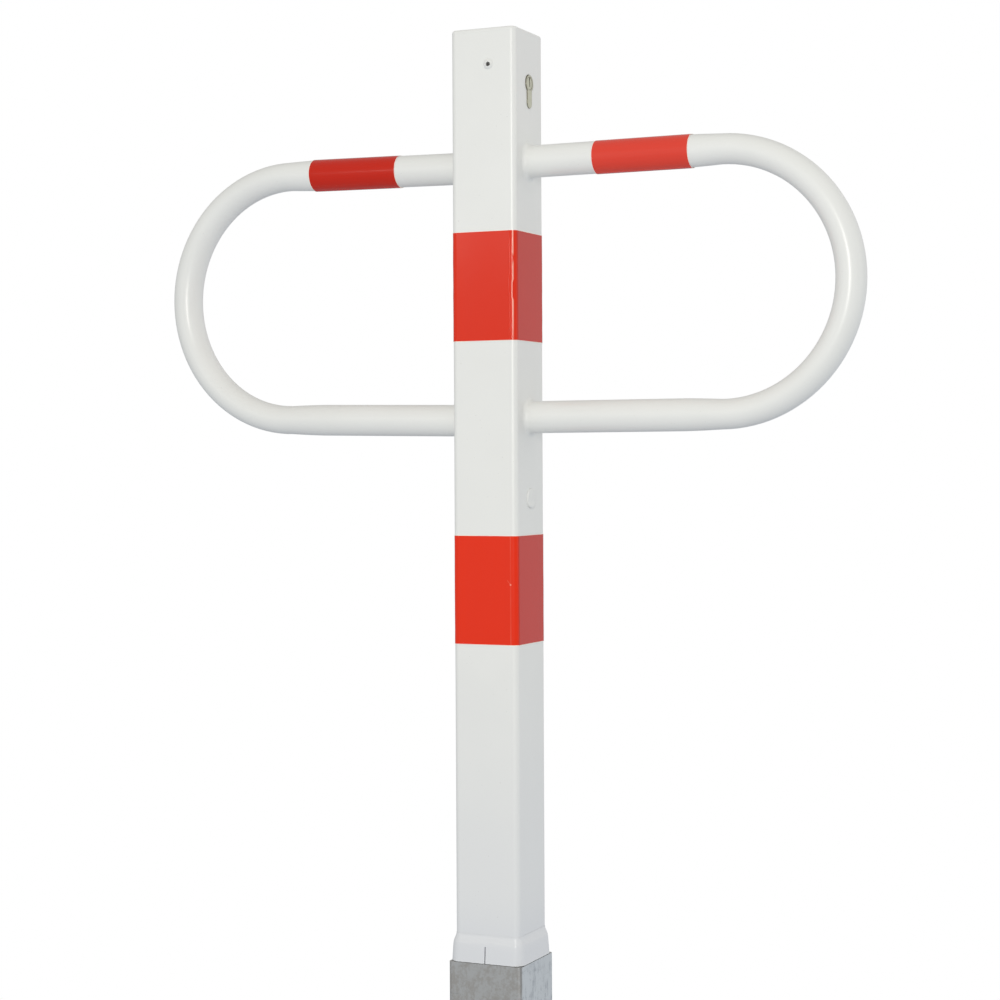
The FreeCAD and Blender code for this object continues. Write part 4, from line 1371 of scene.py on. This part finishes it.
def weld_bead(side):
    """One bead, on the front or rear wall, with ripples across it."""
    clear_bench()
    face = side * SOCKET_HALF
    bpy.ops.mesh.primitive_cylinder_add(vertices=BEAD_SIDES, radius=1, depth=2 * bead_half,
                                        location=(0, face, BAR_HEIGHT), rotation=(0, math.pi / 2, 0),
                                        scale=(bead_rise, bead_crown, 1))
    bead = name_new("weld_bead")
    pitch = bead_half / RIPPLES
    for cut in range(1, 2 * RIPPLES):
        cut_across((-bead_half + cut * pitch, 0, 0), (1, 0, 0))
    for cut in range(2 * RIPPLES + 1):
        place = -bead_half + cut * pitch
        end = min(cut, 2 * RIPPLES - cut)
        size = BEAD_END_SIZES[end] if end < 2 else RIPPLE_SIZES[cut % 2]
        pick_points(bead, lambda point: abs(point.x - place) < pitch / 4)
        bpy.ops.transform.resize(value=(1, size, size), center_override=(place, face, BAR_HEIGHT))
    pick_points(bead, lambda point: True)
    bpy.ops.transform.vertex_random(offset=BEAD_UNEVEN, uniform=0, normal=1, seed=17)
    pick_points(bead, lambda point: side * point.y < SOCKET_HALF)
    bpy.ops.transform.resize(value=(1, 0, 1), center_override=(0, face, BAR_HEIGHT))
    bpy.ops.transform.translate(value=(0, -side * BEAD_SINK, 0))
    clear_bench()
    return bead


print("beads:", RIPPLES, "ripples on", round(2 * bead_half / MM, 1), "mm")

# %% [markdown]
# The bar itself is flat steel with eased edges. Its two beads could stay pieces of their own, but they
# belong to the same node of the frame, so they are joined to it.

# %% Model the stop bar
BAR_EDGE = 0.6 * MM
stop_bar = block("stop_bar_flat", (-BAR_HALF, -SOCKET_HALF, BAR_HEIGHT - BAR_THICK / 2),
                 (BAR_HALF, SOCKET_HALF, BAR_HEIGHT + BAR_THICK / 2))
round_edges(stop_bar, BAR_EDGE, 3, lambda middle, along: abs(along.y) > 0.9)
beads = [weld_bead(-1), weld_bead(1)]
take_up(stop_bar, "OBJECT")
for bead in beads:
    bead.select_set(True)
bpy.ops.object.join()
shade(stop_bar, 50)
fit(stop_bar, "ground_socket", ZINC, "stop_bar")

# %% [markdown]
# ## The pieces that keep their frame
#
# The lock train inside the post could be modelled again too, but its machined shapes are right as they
# come from the frame. So it stays and only gets its metals. It shows when the post is lifted out and the
# bolt comes through its window.

# %% Dress the inner pieces
METALS = {
    "cylinder_body": NICKEL, "cylinder_plug": NICKEL, "cylinder_cam": NICKEL,
    "cylinder_screw": PLATED, "lock_carrier": PLATED,
    "push_rod": STEEL, "cam_follower": STEEL, "wedge_plate": STEEL, "latch_bolt": STEEL,
    "drive_pin": STEEL, "bolt_housing": STEEL, "rod_guide": STEEL,
}
for node, metal in METALS.items():
    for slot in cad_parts[node].material_slots:
        slot.material = metal
print("metals:", len(METALS), "pieces dressed")

# %% [markdown]
# ## The studio
#
# The object stands on a plain pale floor that fades into a white page. A backdrop with a curved foot
# would throw its own light on the object, so the floor is a disc that only the camera sees.

# %% Floor
FLOOR_RADIUS = 7.0
FLOOR_FADE = (0.35, 1.3)


def floor_paint():
    """Pale paint near the object that turns into a shining white page farther out."""
    finish, place = new_finish("floor_paint")
    tree = finish.node_tree
    distance = place.vector("LENGTH", {0: stretched(place, 1, 1, 0)}, output=1)
    set_surface(finish, {"Base Color": (0.86, 0.86, 0.86, 1), "Roughness": 0.7, "Specular IOR Level": 0.2})
    shine = place.node("ShaderNodeEmission", {}, {"Color": (1, 1, 1, 1), "Strength": 1.0})
    mixed = place.node("ShaderNodeMixShader", {}, {
        0: fade(distance, *FLOOR_FADE),
        1: Wire(tree, tree.nodes["Principled BSDF"].outputs[0]),
        2: shine,
    })
    tree.links.new(mixed.socket, tree.nodes["Material Output"].inputs["Surface"])
    return finish


clear_bench()
bpy.ops.mesh.primitive_circle_add(vertices=96, radius=FLOOR_RADIUS, location=(0, 0, socket_low.z),
                                  fill_type="NGON")
floor = name_new("studio_floor")
clear_bench()
floor.data.materials.append(floor_paint())
floor.visible_diffuse = False
floor.visible_glossy = False
floor.visible_shadow = False
print("floor: at z", round(socket_low.z, 3))

# %% [markdown]
# The camera sees a white page, while the light on the object comes from a soft room: cooler and darker
# below, warmer and brighter above, with a glow in front, a stronger one behind on the right, and shade
# behind on the left. A single grey room would leave white paint without any shape.

# %% World
ROOM_LOW = (0.48, 0.51, 0.55, 1)
ROOM_HIGH = (0.61, 0.61, 0.595, 1)
FRONT_GLOW = 0.12
REAR_GLOW = 0.60
REAR_SHADE = 0.14


def glow(towards, direction, start, end):
    """A soft round patch of the room about a direction: 1 at its middle, 0 outside."""
    aligned = towards.vector("DOT_PRODUCT", {0: towards, 1: Vector(direction).normalized()}, output=1)
    return fade(aligned, start, end)


def studio_world():
    """The soft room that lights the object, behind a white page for the camera."""
    world = bpy.data.worlds.new("studio_room")
    world.use_nodes = True
    tree = world.node_tree
    tree.nodes.clear()
    towards = Wire(tree, tree.nodes.new("ShaderNodeTexCoord").outputs["Generated"])
    rays = Wire(tree, tree.nodes.new("ShaderNodeLightPath").outputs["Is Camera Ray"])
    height = fade(axis_of(towards, 2), -0.7, 0.6)
    strength = 1.0 + glow(towards, (-0.1, -1, 0.1), 0.2, 1.0) * FRONT_GLOW
    strength = strength + glow(towards, (0.55, 0.8, 0.05), 0.5, 1.0) * REAR_GLOW
    strength = strength - glow(towards, (-0.5, 0.8, 0), 0.2, 0.9) * REAR_SHADE
    room = rays.node("ShaderNodeBackground", {}, {"Color": blend(height, ROOM_LOW, ROOM_HIGH),
                                                  "Strength": strength})
    page = rays.node("ShaderNodeBackground", {}, {"Color": (1, 1, 1, 1), "Strength": 1.0})
    mixed = rays.node("ShaderNodeMixShader", {}, {0: rays, 1: room, 2: page})
    output = tree.nodes.new("ShaderNodeOutputWorld")
    tree.links.new(mixed.socket, output.inputs["Surface"])
    return world


bpy.context.scene.world = studio_world()
bpy.context.scene.view_settings.view_transform = "Standard"
print("room: low", ROOM_LOW[:3], "high", ROOM_HIGH[:3])

# %% [markdown]
# Four lamps add what a room can't: a broad warm front light, a small lamp for the glint on the left
# hoop, a tall narrow one whose reflection runs down the post's near corner, and a soft box for the right
# side. One strong lamp would do for brightness, but not for these reflections.

# %% Lamps
WARM = (1.0, 0.985, 0.93)
PLAIN = (1, 1, 1)


def soft_box(name, place, target, width, height, power, colour):
    """An area lamp that faces a point."""
    clear_bench()
    towards = (Vector(target) - Vector(place)).to_track_quat("-Z", "Y").to_euler()
    bpy.ops.object.light_add(type="AREA", location=place, rotation=towards)
    lamp = bpy.context.object
    lamp.name = name
    lamp.data.shape = "RECTANGLE"
    lamp.data.size = width
    lamp.data.size_y = height
    lamp.data.energy = power
    lamp.data.color = colour


soft_box("key_box", (-0.5, -2.4, 0.9), (0, 0, 0.5), 1.8, 1.8, 3, WARM)
soft_box("left_lamp", (-1.25, -2.4, 1.1), (0, 0, 0.6), 0.12, 0.12, 1.0, WARM)
soft_box("camera_lamp", (0.85, -2.4, 0.98), (0, 0, 0.7), 0.10, 0.80, 22, WARM)
soft_box("side_box", (3.0, 0.4, 1.0), (0, 0, 0.5), 1.2, 1.6, 3, PLAIN)
print("lamps:", len(bpy.data.lights))
